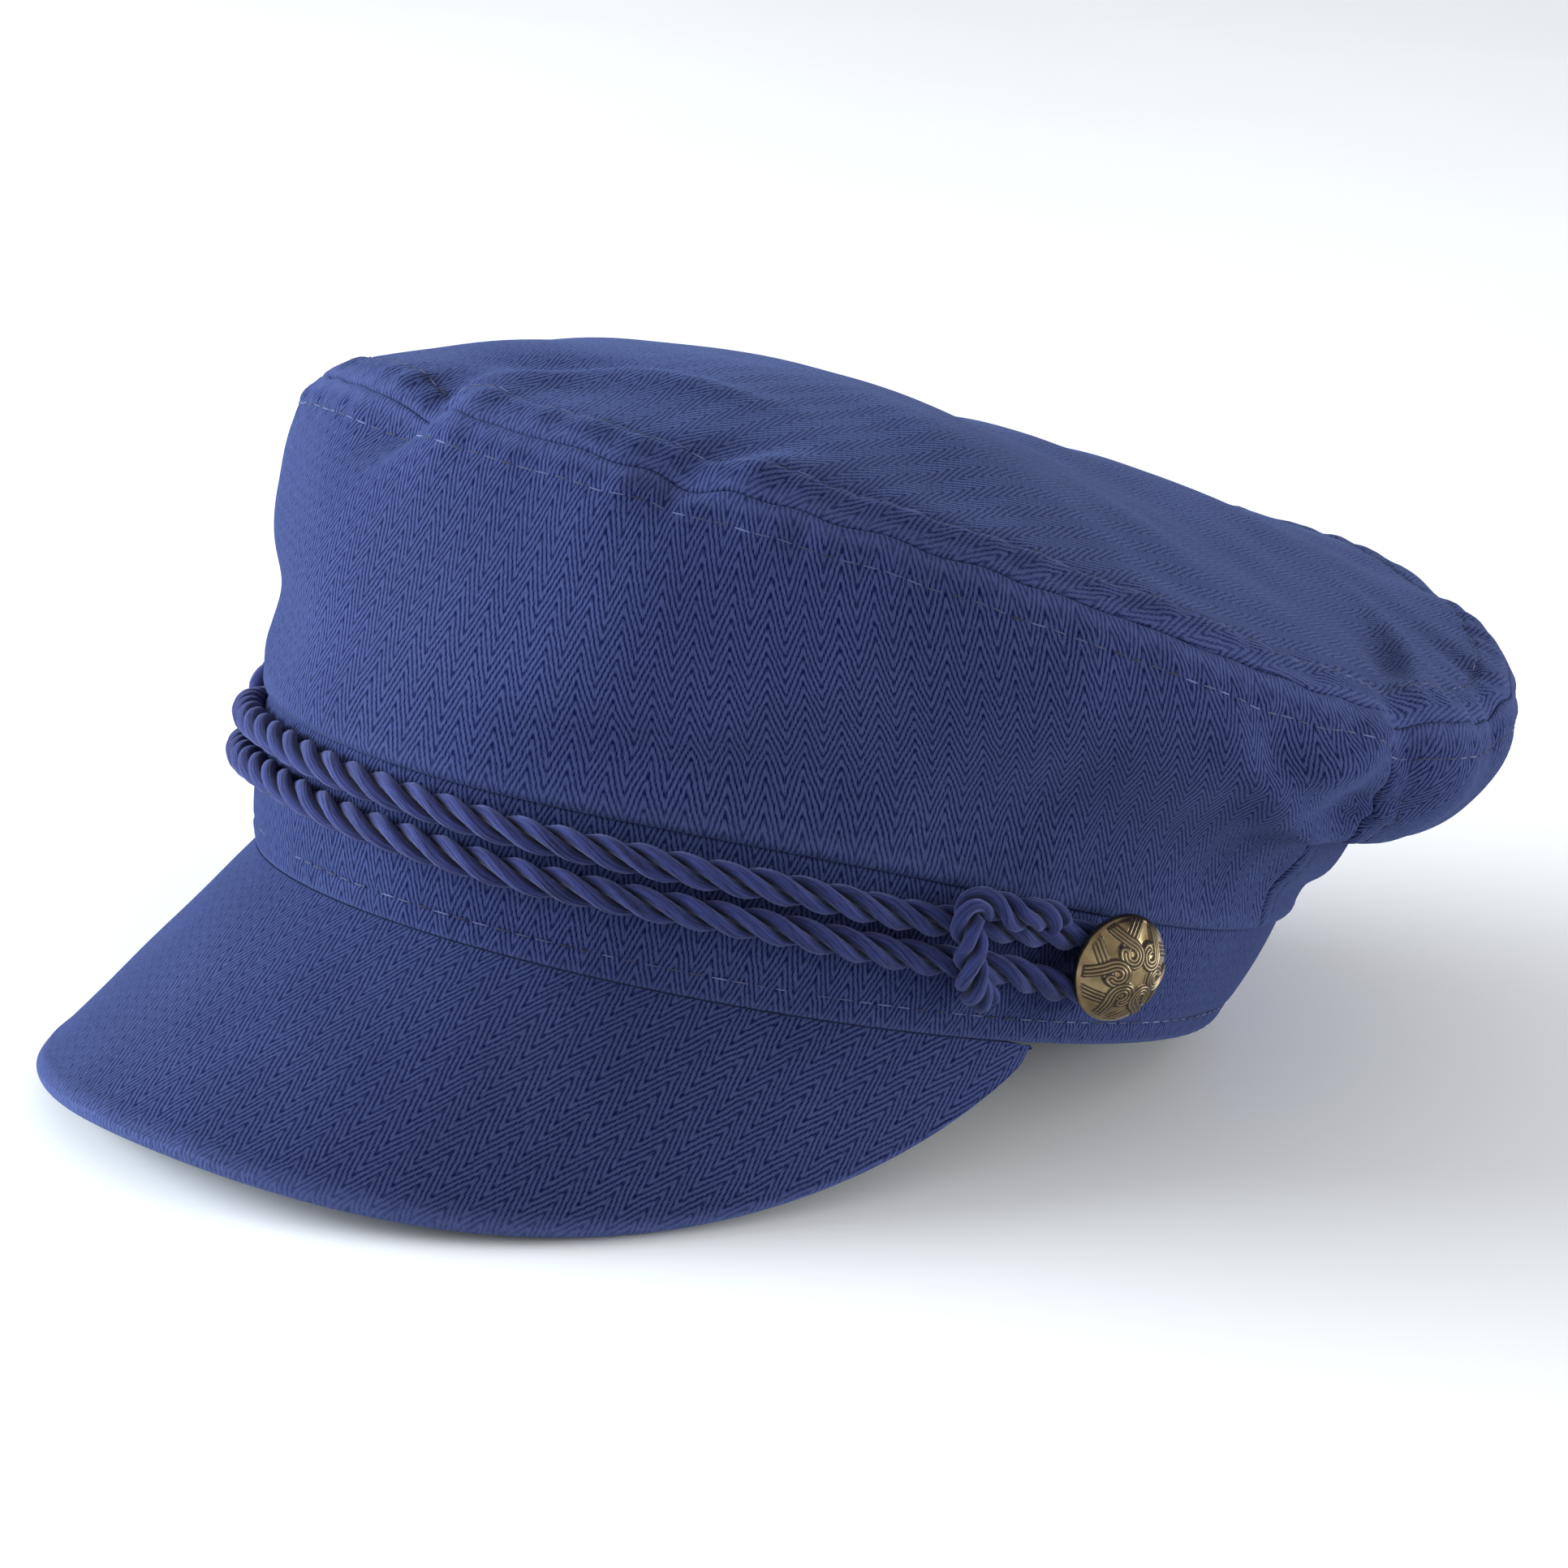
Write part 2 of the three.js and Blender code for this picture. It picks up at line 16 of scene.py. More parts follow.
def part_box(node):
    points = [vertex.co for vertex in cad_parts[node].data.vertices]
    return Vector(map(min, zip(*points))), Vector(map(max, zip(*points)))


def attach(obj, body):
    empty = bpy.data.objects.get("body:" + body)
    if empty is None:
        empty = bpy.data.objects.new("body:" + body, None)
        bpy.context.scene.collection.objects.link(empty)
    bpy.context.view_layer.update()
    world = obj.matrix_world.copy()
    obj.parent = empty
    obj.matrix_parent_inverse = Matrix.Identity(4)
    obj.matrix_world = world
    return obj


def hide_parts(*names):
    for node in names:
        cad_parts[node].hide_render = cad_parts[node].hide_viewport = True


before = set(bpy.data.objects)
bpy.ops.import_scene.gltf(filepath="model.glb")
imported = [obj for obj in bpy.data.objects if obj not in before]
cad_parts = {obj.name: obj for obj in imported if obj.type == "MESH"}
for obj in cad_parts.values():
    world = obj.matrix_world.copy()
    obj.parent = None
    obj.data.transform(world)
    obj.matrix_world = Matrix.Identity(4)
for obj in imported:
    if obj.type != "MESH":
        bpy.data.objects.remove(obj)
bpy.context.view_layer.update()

bl_info = {
    "name": "Breton fisherman cap",
    "version": (1, 0, 0),
    "blender": (4, 5, 0),
    "location": "View3D > Sidebar > Cap",
    "description": "Dresses the cap in herringbone cotton, ropes, brass buttons and stitching",
    "category": "Object",
}

MM = 0.001
BODY = "root"

# Head opening and band
HEAD_HALF_WIDTH = 82
HEAD_HALF_LENGTH = 100
HEAD_EGG = 0.03
BAND_HEIGHT = 26
BAND_WALL = 2.4
BAND_BELLY = 1
FLARE_FRONT = 3.5
FLARE_SIDE = 3.7
FLARE_REAR = 12.5
FLOOR_PRESS = 0.8

# Crown
CROWN_HALF_WIDTH = 110.8
CROWN_HALF_LENGTH = 119.7
CROWN_SETBACK = 22.9
SEAM_HEIGHT = 79
REAR_SAG = 7
REAR_SAG_ANGLE = 28
DOME_HEIGHT = 21.6
HEM_STEP = 1.9
HEM_LAP = 0.4
SIDE_SEAM_FOOT_ANGLE = 114
SIDE_SEAM_HEAD_ANGLE = 92
SIDE_DROP = SEAM_HEIGHT - BAND_HEIGHT
PANEL_CURVE = 385
UNDER_TILT = math.radians(75)

# Peak
PEAK_LENGTH = 58.8
PEAK_SPREAD = 83
PEAK_DROP = 40
PEAK_CORNER_DROP = 20
PEAK_WALL = 3
PEAK_SEAT = 0.05

# Ropes, knots and buttons
ROPE_RADIUS = 2.95
ROPE_SEAT = 0.3
BUTTON_AT = 84
BUTTON_UP = 0.71
BUTTON_RADIUS = 9.6
BUTTON_RIM = 1.6
BUTTON_DOME = 5
BUTTON_TURN = 6
SHANK_RADIUS = 1.1
SIDE_NAMES = {"left": 1, "right": -1}

Wave = namedtuple("Wave", "wave share")
BAND_WAVES = [Wave(1, 0.042), Wave(2, 0.077), Wave(3, -0.079)]
SEAM_WAVES = [Wave(1, 0.008), Wave(2, 0.128), Wave(3, -0.048)]
OUTLINE_WAVES = [Wave(1, -0.037), Wave(3, 0.008)]

# Bend of the crown side at three places: how far its two handles lean out and rise, as shares of its drop
Bend = namedtuple("Bend", "front side rear")
FOOT_LEAN = Bend(0.01, 0, -0.02)
FOOT_RISE = Bend(0.39, 0.575, 0.045)
HEAD_LEAN = Bend(0.147, 0.16, 0.096)
HEAD_FALL = Bend(0.46, 0.57, 0.47)

# Folds and dents of the crown. turn: degrees from the front. rise: from the top seam, as a share of the
# side's drop. before, after: width in degrees towards the wearer's right and left. tall: share of the drop.
# slant: degrees that the fold turns over one drop. deep: share of the drop, below 0 is outwards.
Fold = namedtuple("Fold", "turn rise before after tall slant deep")
FOLDS = [
    Fold(-13, -0.07, 7, 2.5, 0.11, 20, 0.09),
    Fold(-12.5, 0.12, 5, 2.5, 0.13, -20, 0.065),
    Fold(-6, 0.02, 3, 3, 0.2, 0, -0.025),
    Fold(-6, 0.3, 3.5, 3.5, 0.14, 27, -0.035),
    Fold(6, 0.54, 9, 9, 0.1, 75, -0.03),
    Fold(-9, 0.47, 5, 5, 0.12, 60, 0.03),
    Fold(19, 0, 3.5, 3.5, 0.1, 0, 0.045),
    Fold(21, 0.17, 3.5, 3.5, 0.1, 22, 0.03),
    Fold(26, 0.16, 3.5, 3.5, 0.12, 22, -0.02),
    Fold(33, -0.8, 12, 15, 0.07, 0, 0.058),
    Fold(-34, -0.72, 18, 18, 0.12, 0, 0.035),
    Fold(81, -0.34, 4, 4, 0.2, -52, -0.03),
    Fold(79.5, -0.2, 3.5, 3.5, 0.13, -40, 0.035),
    Fold(85.5, -0.17, 3.5, 3.5, 0.15, 28, -0.055),
    Fold(96, -0.53, 5, 5, 0.17, -53, -0.045),
    Fold(95.5, -0.27, 6, 6, 0.12, 0, 0.1),
    Fold(97, -0.42, 8, 8, 0.06, 0, 0.05),
    Fold(95, 0, 3.5, 3.5, 0.12, 0, 0.06),
    Fold(97, -0.12, 3, 3, 0.16, -28, 0.03),
    Fold(105, -0.08, 4.5, 4.5, 0.25, 0, -0.03),
    Fold(109, 0.02, 2.5, 2.5, 0.14, 0, 0.035),
    Fold(116, 0, 3, 3, 0.16, 0, 0.035),
    Fold(112, 0.3, 4, 4, 0.25, 60, -0.03),
    Fold(104, 0.3, 4, 4, 0.2, 60, 0.03),
    Fold(122, 0.14, 3.5, 3.5, 0.2, 30, 0.035),
    Fold(119, -0.62, 16, 16, 0.06, 0, 0.09),
    Fold(124, -0.77, 16, 16, 0.08, 0, -0.05),
    Fold(-88, 0.02, 5, 5, 0.45, 6, 0.06),
    Fold(-97, -0.28, 7, 7, 0.14, 0, 0.07),
    Fold(-88, -0.2, 4, 4, 0.16, -28, -0.04),
    Fold(-118, 0, 6, 6, 0.35, 0, 0.05),
    Fold(-122, -0.63, 18, 18, 0.07, 0, 0.07),
    Fold(150, -0.1, 7, 7, 0.5, 10, 0.05),
    Fold(-158, -0.1, 7, 7, 0.5, -12, 0.045),
    Fold(180, -0.3, 34, 34, 0.25, 0, -0.08),
    Fold(180, -0.74, 64, 64, 0.13, 0, 0.07),
    Fold(180, -0.42, 64, 64, 0.2, 0, -0.045),
]

# Heights of the rope centres on the band, as shares of its height, at degrees from the front
RopeHeight = namedtuple("RopeHeight", "turn upper lower")
ROPE_HEIGHTS = [
    RopeHeight(-87, 0.85, 0.48),
    RopeHeight(-80, 0.83, 0.48),
    RopeHeight(-71, 0.8, 0.535),
    RopeHeight(-62, 0.765, 0.525),
    RopeHeight(-40, 0.82, 0.58),
    RopeHeight(-20, 0.85, 0.61),
    RopeHeight(0, 0.835, 0.585),
    RopeHeight(22, 0.8, 0.55),
    RopeHeight(45, 0.785, 0.55),
    RopeHeight(62, 0.765, 0.525),
    RopeHeight(71, 0.8, 0.535),
    RopeHeight(80, 0.83, 0.48),
    RopeHeight(87, 0.85, 0.48),
]

# Path of the knotted cord: degrees forward of its button, height as a share of the band's height, and
# how proud of the band its centre lies, as a share of the ropes' diameter
KnotPoint = namedtuple("KnotPoint", "ahead up proud")
KNOT_PATH = [
    KnotPoint(13, 0.34, 0.55),
    KnotPoint(15, 0.385, 0.95),
    KnotPoint(17, 0.475, 1.4),
    KnotPoint(18, 0.58, 1.56),
    KnotPoint(18.5, 0.69, 1.56),
    KnotPoint(19.3, 0.785, 1.56),
    KnotPoint(19.5, 0.865, 1.53),
    KnotPoint(18.7, 0.92, 1.42),
    KnotPoint(17.2, 0.945, 1.36),
    KnotPoint(15.6, 0.93, 1.43),
    KnotPoint(14.1, 0.915, 1.53),
    KnotPoint(12.4, 0.94, 1.54),
    KnotPoint(10.8, 0.945, 1.53),
    KnotPoint(9.6, 0.915, 1.46),
    KnotPoint(9.3, 0.88, 1.5),
]

# Viewpoint in the cap's own frame
VIEW_AZIMUTH = 37.47
VIEW_ELEVATION = 7.4
VIEW_ROLL = 12.48
VIEW_DISTANCE = 1030.4
VIEW_AIM_RIGHT = 8.4
VIEW_AIM_UP = 25.5
VIEW_LENS = 128.26
SENSOR = 36


def linear(hex_colour):
    """The linear colour of an sRGB hex value."""
    shares = [int(hex_colour[i:i + 2], 16) / 255 for i in (1, 3, 5)]
    return tuple(c / 12.92 if c <= 0.04045 else ((c + 0.055) / 1.055) ** 2.4 for c in shares)


# Shapes of the cap in its own frame
def point(x, y, z):
    return np.stack(np.broadcast_arrays(x, y, z), axis=-1).astype(float)


def unit(vectors):
    return vectors / np.maximum(np.linalg.norm(vectors, axis=-1, keepdims=True), 1e-9)


def times(share, vectors):
    return np.asarray(share, float)[..., None] * vectors


def smooth(value, low, high):
    t = np.clip((value - low) / (high - low), 0, 1)
    return t * t * (3 - 2 * t)


def wrapped(turn):
    return (turn + 180) % 360 - 180


def waves(table, angle):
    return 1 + sum(row.share * np.cos(row.wave * angle) for row in table)


def all_round(bend, angle):
    """One value that changes smoothly from the front, over both sides, to the rear."""
    c = np.cos(angle)
    return bend.side + (bend.front - bend.rear) / 2 * c + ((bend.front + bend.rear) / 2 - bend.side) * c * c


def level_normal(curve, angle, step=0.01):
    along = curve(angle + step) - curve(angle - step)
    return unit(point(along[..., 1], -along[..., 0], 0))


def normal_of(surface, angle, share, step=0.004):
    middle = np.clip(share, step, 1 - step)
    along = surface(angle + step, middle) - surface(angle - step, middle)
    up = surface(angle, middle + step) - surface(angle, middle - step)
    return unit(np.cross(along, up))


def band_foot(angle):
    x = HEAD_HALF_WIDTH * np.sin(angle) * (1 - HEAD_EGG * np.cos(angle))
    return point(x, -HEAD_HALF_LENGTH * np.cos(angle), 0)


def band_height(angle):
    return BAND_HEIGHT * waves(BAND_WAVES, angle)


def band_head(angle):
    flare = all_round(Bend(FLARE_FRONT, FLARE_SIDE, FLARE_REAR), angle)
    head = band_foot(angle) + times(flare, level_normal(band_foot, angle))
    head[..., 2] = band_height(angle)
    return head


def band_surface(angle, share):
    belly = BAND_BELLY * 4 * share * (1 - share)
    foot = band_foot(angle)
    return foot + times(share, band_head(angle) - foot) + times(belly, level_normal(band_foot, angle))


def on_band(angle, share, proud):
    return band_surface(angle, share) + times(proud, normal_of(band_surface, angle, share))


def seam_line(angle):
    spread = waves(OUTLINE_WAVES, angle)
    from_rear = wrapped(np.degrees(angle) - 180) / REAR_SAG_ANGLE
    return point(
        CROWN_HALF_WIDTH * np.sin(angle) * spread,
        CROWN_SETBACK - CROWN_HALF_LENGTH * np.cos(angle) * spread,
        SEAM_HEIGHT * waves(SEAM_WAVES, angle) - REAR_SAG * np.exp(-from_rear * from_rear),
    )


def fold_depth(angle, rise):
    depth = 0
    for row in FOLDS:
        away = wrapped(np.degrees(angle) - row.turn - row.slant * (rise - row.rise))
        across = away / np.where(away < 0, row.before, row.after)
        along = (rise - row.rise) / row.tall
        depth = depth + row.deep * np.exp(-across * across - along * along)
    return depth


def folded(place, angle, rise):
    """Folds sink level on the side, down on the top, between the two at the seam, and up under the rear."""
    tilt = math.pi / 4 * (1 + np.tanh(rise / 0.15))
    rearwards = (1 - np.cos(angle)) / 2
    tilt = tilt - UNDER_TILT * rearwards * (1 - np.tanh((rise + 0.35) / 0.12)) / 2
    inwards = -times(np.cos(tilt), level_normal(seam_line, angle)) - times(np.sin(tilt), point(0, 0, 1))
    return place + times(SIDE_DROP * fold_depth(angle, rise), inwards)


def side_surface(angle, share):
    out = level_normal(seam_line, angle)
    band_out = level_normal(band_foot, angle)
    foot = band_head(angle) + HEM_STEP * band_out - point(0, 0, HEM_LAP)
    head = seam_line(angle)
    low = foot + times(SIDE_DROP * all_round(FOOT_LEAN, angle), band_out)
    low = low + times(SIDE_DROP * all_round(FOOT_RISE, angle), point(0, 0, 1))
    high = head + times(SIDE_DROP * all_round(HEAD_LEAN, angle), out)
    high = high - times(SIDE_DROP * all_round(HEAD_FALL, angle), point(0, 0, 1))
    rest = 1 - share
    place = times(rest ** 3, foot) + times(3 * rest ** 2 * share, low)
    place = place + times(3 * rest * share ** 2, high) + times(share ** 3, head)
    fade = np.minimum(1, share / 0.15)
    return place + times(fade, folded(place, angle, share - 1) - place)


def top_surface(angle, share):
    r = 1 - share
    centre = point(0, CROWN_SETBACK, SEAM_HEIGHT)
    dome = DOME_HEIGHT * (1 - r * r) * (1 + 0.57 * r * np.cos(angle)) - 0.1 * DOME_HEIGHT * share ** 2
    place = centre + times(r, seam_line(angle) - centre) + times(dome, point(0, 0, 1))
    return folded(place, angle, share * CROWN_HALF_WIDTH / SIDE_DROP)


def side_seam_turn(share):
    return SIDE_SEAM_FOOT_ANGLE + (SIDE_SEAM_HEAD_ANGLE - SIDE_SEAM_FOOT_ANGLE) * share


def peak_ruling(angle):
    """Direction in which the peak runs from the band to its rim."""
    swing = 0.14 * angle
    drop = np.radians(PEAK_DROP + PEAK_CORNER_DROP * (1 - np.cos(angle)))
    return point(np.sin(swing) * np.cos(drop), -np.cos(swing) * np.cos(drop), -np.sin(drop))


def peak_length(angle):
    u = np.clip(np.abs(angle) / math.radians(PEAK_SPREAD), 0, 1)
    return PEAK_LENGTH * (1 - u ** 3.3) ** 0.93


def peak_surface(angle, share):
    foot = band_foot(angle) - point(0, 0, PEAK_SEAT)
    return foot + times(peak_length(angle) * share, peak_ruling(angle))


def peak_normal(angle, step=0.02):
    across = peak_surface(angle + step, 0.5) - peak_surface(angle - step, 0.5)
    along = peak_surface(angle, 1) - peak_surface(angle, 0)
    return unit(np.cross(along, across))


def flat_peak():
    """The peak laid flat: angles, the foot line's places and the headings of the rulings there."""
    angles = np.linspace(0, math.radians(PEAK_SPREAD), 400)
    steps = np.diff(band_foot(angles), axis=0)
    sizes = np.linalg.norm(steps, axis=1)
    rulings = peak_ruling(angles)
    before = np.arccos((steps * rulings[:-1]).sum(axis=1) / sizes)
    after = np.arccos((steps * rulings[1:]).sum(axis=1) / sizes)
    headings = math.pi / 2 + np.concatenate([[0], np.cumsum(after - before)])
    forward = headings[:-1] - before
    moves = np.stack([np.cos(forward), np.sin(forward)], axis=1) * sizes[:, None]
    return angles, np.concatenate([[[0, 0]], np.cumsum(moves, axis=0)]), headings


# The cap's lean and place, worked out from where the frame holds the band
def find_lean():
    low, high = (np.array(corner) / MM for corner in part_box("band"))
    front = band_head(0.0)
    rear = band_head(math.pi)
    reach = HEAD_HALF_LENGTH - front[1]
    rise = front[2] - FLOOR_PRESS
    lean = math.asin(high[2] / math.hypot(reach, rise)) - math.atan2(rise, reach)
    up = HEAD_HALF_LENGTH * math.sin(lean) - FLOOR_PRESS * math.cos(lean)
    back = high[1] - rear[1] * math.cos(lean) - rear[2] * math.sin(lean)
    turn = Matrix.Rotation(-lean, 4, "X")
    return Matrix.Translation(Vector(((low[0] + high[0]) / 2, back, up)) * MM) @ turn


LEAN = find_lean()
LEAN_TURN = np.array(LEAN.to_3x3())
LEAN_SHIFT = np.array(LEAN.translation)


def placed(points):
    """Points of the cap's own frame, in millimetres, as places in the row frame, in metres."""
    return points * MM @ LEAN_TURN.T + LEAN_SHIFT


def above_floor(points):
    """Presses points of the cap's own frame flat where they would sink into the floor."""
    rise = (points * LEAN_TURN[2]).sum(axis=-1) + LEAN_SHIFT[2] / MM
    return points - times(np.minimum(rise, 0) / LEAN_TURN[2, 2], point(0, 0, 1))


def ripple(places, pitch, seed):
    """A soft unevenness of about 1 that repeats at no one distance."""
    draw = np.random.default_rng(seed)
    total = 0
    for _ in range(9):
        direction = unit(draw.normal(size=3))
        wave = 2 * math.pi / (pitch * draw.uniform(0.6, 1.7))
        total = total + np.sin(places @ direction * wave + draw.uniform(0, 2 * math.pi))
    return total / 3


def puckers(angle, slowest, fastest, seed):
    """Small gathers round a seam, of about 1, that close on themselves."""
    draw = np.random.default_rng(seed)
    total = 0
    for _ in range(8):
        total = total + np.cos(draw.integers(slowest, fastest) * angle + draw.uniform(0, 2 * math.pi))
    return total / 3


def squared(share):
    return math.copysign(math.sqrt(abs(share)), share)


def roll(distance, radius):
    """How far a sheet's edge has turned in at a distance from it."""
    left = np.clip(radius - distance, 0, radius)
    return radius - np.sqrt(radius * radius - left * left)


def hump(distance, middle, half_width):
    return np.exp(-((distance - middle) / half_width) ** 2)


# Mesh making
def new_piece(name, bm):
    """An object of the bmesh, with smooth faces, that rides on the cap."""
    mesh = bpy.data.meshes.new(name)
    bm.to_mesh(mesh)
    bm.free()
    for polygon in mesh.polygons:
        polygon.use_smooth = True
    piece = bpy.data.objects.new(name, mesh)
    bpy.context.scene.collection.objects.link(piece)
    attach(piece, BODY)
    return piece


def grid_mesh(columns, rows, place, uv, marks=None, wrap=()):
    """A bmesh grid of columns x rows values, moved to place(column, row), with its map in metres.

    place and uv take the column and row values as arrays. marks gives named values for each vertex.
    wrap holds "columns" or "rows" where the grid closes on itself.
    """
    bm = bmesh.new()
    bm.loops.layers.uv.new("map")
    bmesh.ops.create_grid(bm, x_segments=len(columns) - 1, y_segments=len(rows) - 1, size=0.5)
    mesh = bpy.data.meshes.new("grid")
    bm.to_mesh(mesh)
    bm.free()
    count = len(mesh.vertices)
    flat = np.empty(count * 3)
    mesh.vertices.foreach_get("co", flat)
    flat = flat.reshape(-1, 3)
    across = np.rint((flat[:, 0] + 0.5) * (len(columns) - 1)).astype(int)
    upward = np.rint((flat[:, 1] + 0.5) * (len(rows) - 1)).astype(int)
    a = np.asarray(columns, float)[across]
    b = np.asarray(rows, float)[upward]
    mesh.vertices.foreach_set("co", placed(place(a, b)).astype(np.float32).ravel())
    corners = np.empty(len(mesh.loops), int)
    mesh.loops.foreach_get("vertex_index", corners)
    maps = (uv(a, b) * MM).astype(np.float32)
    mesh.uv_layers["map"].data.foreach_set("uv", maps[corners].ravel())
    for name, values in (marks(a, b) if marks else {}).items():
        mark = mesh.attributes.new(name, "FLOAT", "POINT")
        mark.data.foreach_set("value", np.broadcast_to(values, (count,)).astype(np.float32))
    bm = bmesh.new()
    bm.from_mesh(mesh)
    bpy.data.meshes.remove(mesh)
    if wrap:
        bmesh.ops.remove_doubles(bm, verts=bm.verts, dist=1e-6)
    return bm


def face_outwards(bm):
    bmesh.ops.recalc_face_normals(bm, faces=bm.faces)


def finish_piece(piece, material, slot, *nodes):
    piece.data.materials.append(material)
    if nodes:
        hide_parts(*nodes)
    return piece


def thicken(piece, wall):
    solid = piece.modifiers.new("wall", "SOLIDIFY")
    solid.thickness = wall
    solid.offset = -1
    solid.use_even_offset = False
    solid.use_rim = True


def spaced(start, end, step):
    return np.linspace(start, end, max(2, int(round(abs(end - start) / step)) + 1))


def merged(*parts):
    return np.unique(np.round(np.concatenate(parts), 5))


# Materials
ATTRIBUTE = "ShaderNodeAttribute"
BUMP = "ShaderNodeBump"
MAP_RANGE = "ShaderNodeMapRange"
MAPPING = "ShaderNodeMapping"
MATH = "ShaderNodeMath"
MIX = "ShaderNodeMix"
NOISE = "ShaderNodeTexNoise"
SEPARATE = "ShaderNodeSeparateXYZ"
TEX_COORD = "ShaderNodeTexCoord"
UV_MAP = "ShaderNodeUVMap"
# Share of each finer layer in every noise
GRAIN = 0.55
# What washing does to the cloth's colour where it took the dye less and more
WASHED_DARKER = (0.88, 0.88, 0.9, 1)
WASHED_PALER = (1.08, 1.07, 1.05, 1)


def opaque(colour):
    return (*colour, 1)


def new_material(name):
    material = bpy.data.materials.new(name)
    material.use_nodes = True
    tree = material.node_tree
    return material, tree, tree.nodes["Principled BSDF"]


def fill(tree, made, inputs):
    """Sets or links a node's sockets, by name or number or in order. A node stands for its first output."""
    for socket, value in inputs.items() if isinstance(inputs, dict) else enumerate(inputs):
        if isinstance(value, bpy.types.Node):
            value = value.outputs[0]
        if isinstance(value, bpy.types.NodeSocket):
            tree.links.new(value, made.inputs[socket])
        else:
            made.inputs[socket].default_value = value


def node(tree, kind, inputs=(), **settings):
    """Adds a node with its settings and links."""
    made = tree.nodes.new(kind)
    for name, value in settings.items():
        setattr(made, name, value)
    fill(tree, made, inputs)
    return made


def map_in_mm(tree):
    return node(tree, MAPPING, {"Vector": node(tree, UV_MAP, uv_map="map"), "Scale": (1 / MM,) * 3})


def object_in_mm(tree):
    place = node(tree, TEX_COORD).outputs["Object"]
    return node(tree, MAPPING, {"Vector": place, "Scale": (1 / MM,) * 3})


def herringbone(context):
    """Cotton herringbone twill, yarn dyed and washed.

    It looks matt and soft, with pale warp floats between dark grooves, and worn paler where it folds over
    an edge. Columns of one stripe width lean left and right by turns, in steps of one yarn. The single
    fibres are too fine to show, so the unevenness along a yarn is drawn a third of a millimetre wide.
    """
    made = bpy.data.materials.get("cotton_herringbone")
    if made:
        return made
    sizes = context.scene.cap_sizes
    colours = context.scene.cap_colours
    light = tuple(colours.cloth_light)
    stripe, pitch, rise, yarn_width = (
        value / MM for value in (sizes.stripe, sizes.twill_pitch, sizes.twill_rise, sizes.yarn)
    )
    material, tree, shader = new_material("cotton_herringbone")
    in_mm = map_in_mm(tree)
    solid_mm = object_in_mm(tree)
    split = node(tree, SEPARATE, [in_mm])
    drift = node(tree, NOISE, {"Vector": solid_mm, "Scale": 0.12, "Detail": 1, "Roughness": GRAIN})
    across = node(tree, MATH, [drift, 0.9, split.outputs[0]], operation="MULTIPLY_ADD")
    column = node(tree, MATH, [across, stripe], operation="PINGPONG")
    from_middle = node(tree, MATH, [column, 1 / stripe, -0.5], operation="MULTIPLY_ADD")
    turn = node(tree, MATH, [from_middle], operation="ABSOLUTE")
    stepped = node(tree, MATH, [column, yarn_width], operation="SNAP")
    sloped = node(tree, MATH, [column, 0.45], operation="MULTIPLY")
    column = node(tree, MATH, [stepped, 0.55, sloped], operation="MULTIPLY_ADD")
    upwards = node(tree, MATH, [split.outputs[1], rise], operation="DIVIDE")
    phase = node(tree, MATH, [column, 1 / pitch, upwards], operation="MULTIPLY_ADD")
    uneven = node(tree, NOISE, {"Vector": in_mm, "Scale": 0.9, "Detail": 2, "Roughness": GRAIN})
    phase = node(tree, MATH, [uneven, 0.55, phase], operation="MULTIPLY_ADD")
    line = node(tree, MATH, [phase, 0.5], operation="PINGPONG")
    line = node(tree, MATH, [line, 2.7], operation="MULTIPLY")
    line = node(tree, MATH, [line, 1], operation="SMOOTH_MIN")
    border = node(tree, MATH, [turn, 0.46], operation="GREATER_THAN")
    line = node(tree, MATH, [border, -0.08, line], operation="MULTIPLY_ADD")
    stretched = node(tree, MAPPING, {"Vector": in_mm, "Scale": (3.2, 1.1, 1)})
    yarn = node(tree, NOISE, {"Vector": stretched, "Scale": 1, "Detail": 3, "Roughness": GRAIN})
    around = node(tree, MATH, [yarn, 0.5], operation="SUBTRACT")
    weave = node(tree, MATH, [around, 1.1, line], operation="MULTIPLY_ADD")
    raised = node(tree, MAP_RANGE, [weave, 0.1, 1])
    cloth = node(
        tree, MIX, {0: raised, 6: opaque(colours.cloth_dark), 7: opaque(light)}, data_type="RGBA"
    ).outputs[2]
    washed = node(tree, NOISE, {"Vector": solid_mm, "Scale": 0.035, "Detail": 3, "Roughness": GRAIN})
    washed = node(tree, MAP_RANGE, [washed, 0.3, 0.7])
    shade = node(tree, MIX, {0: washed, 6: WASHED_DARKER, 7: WASHED_PALER}, data_type="RGBA").outputs[2]
    colour = node(
        tree, MIX, {0: 1, 6: cloth, 7: shade}, data_type="RGBA", blend_type="MULTIPLY"
    ).outputs[2]
    wear = node(tree, ATTRIBUTE, attribute_name="wear").outputs["Fac"]
    fuzz = node(tree, NOISE, {"Vector": solid_mm, "Scale": 1.1, "Detail": 4, "Roughness": GRAIN})
    fuzz = node(tree, MATH, [fuzz, 0.9], operation="MULTIPLY")
    worn = node(tree, MATH, [wear, fuzz], operation="MULTIPLY")
    faded = opaque(min(1, 1.55 * c + 0.012) for c in light)
    colour = node(tree, MIX, {0: worn, 6: colour, 7: faded}, data_type="RGBA").outputs[2]
    height = node(tree, MATH, [yarn, 0.9, line], operation="MULTIPLY_ADD")
    bump = node(tree, BUMP, {"Strength": 1, "Distance": 0.16 * MM, "Height": height})
    fill(tree, shader, {
        "Base Color": colour, "Roughness": 0.92, "Specular IOR Level": 0.06, "Normal": bump,
        "Sheen Weight": 0.18, "Sheen Roughness": 0.45, "Sheen Tint": opaque(linear("#99B5FF")),
    })
    return material


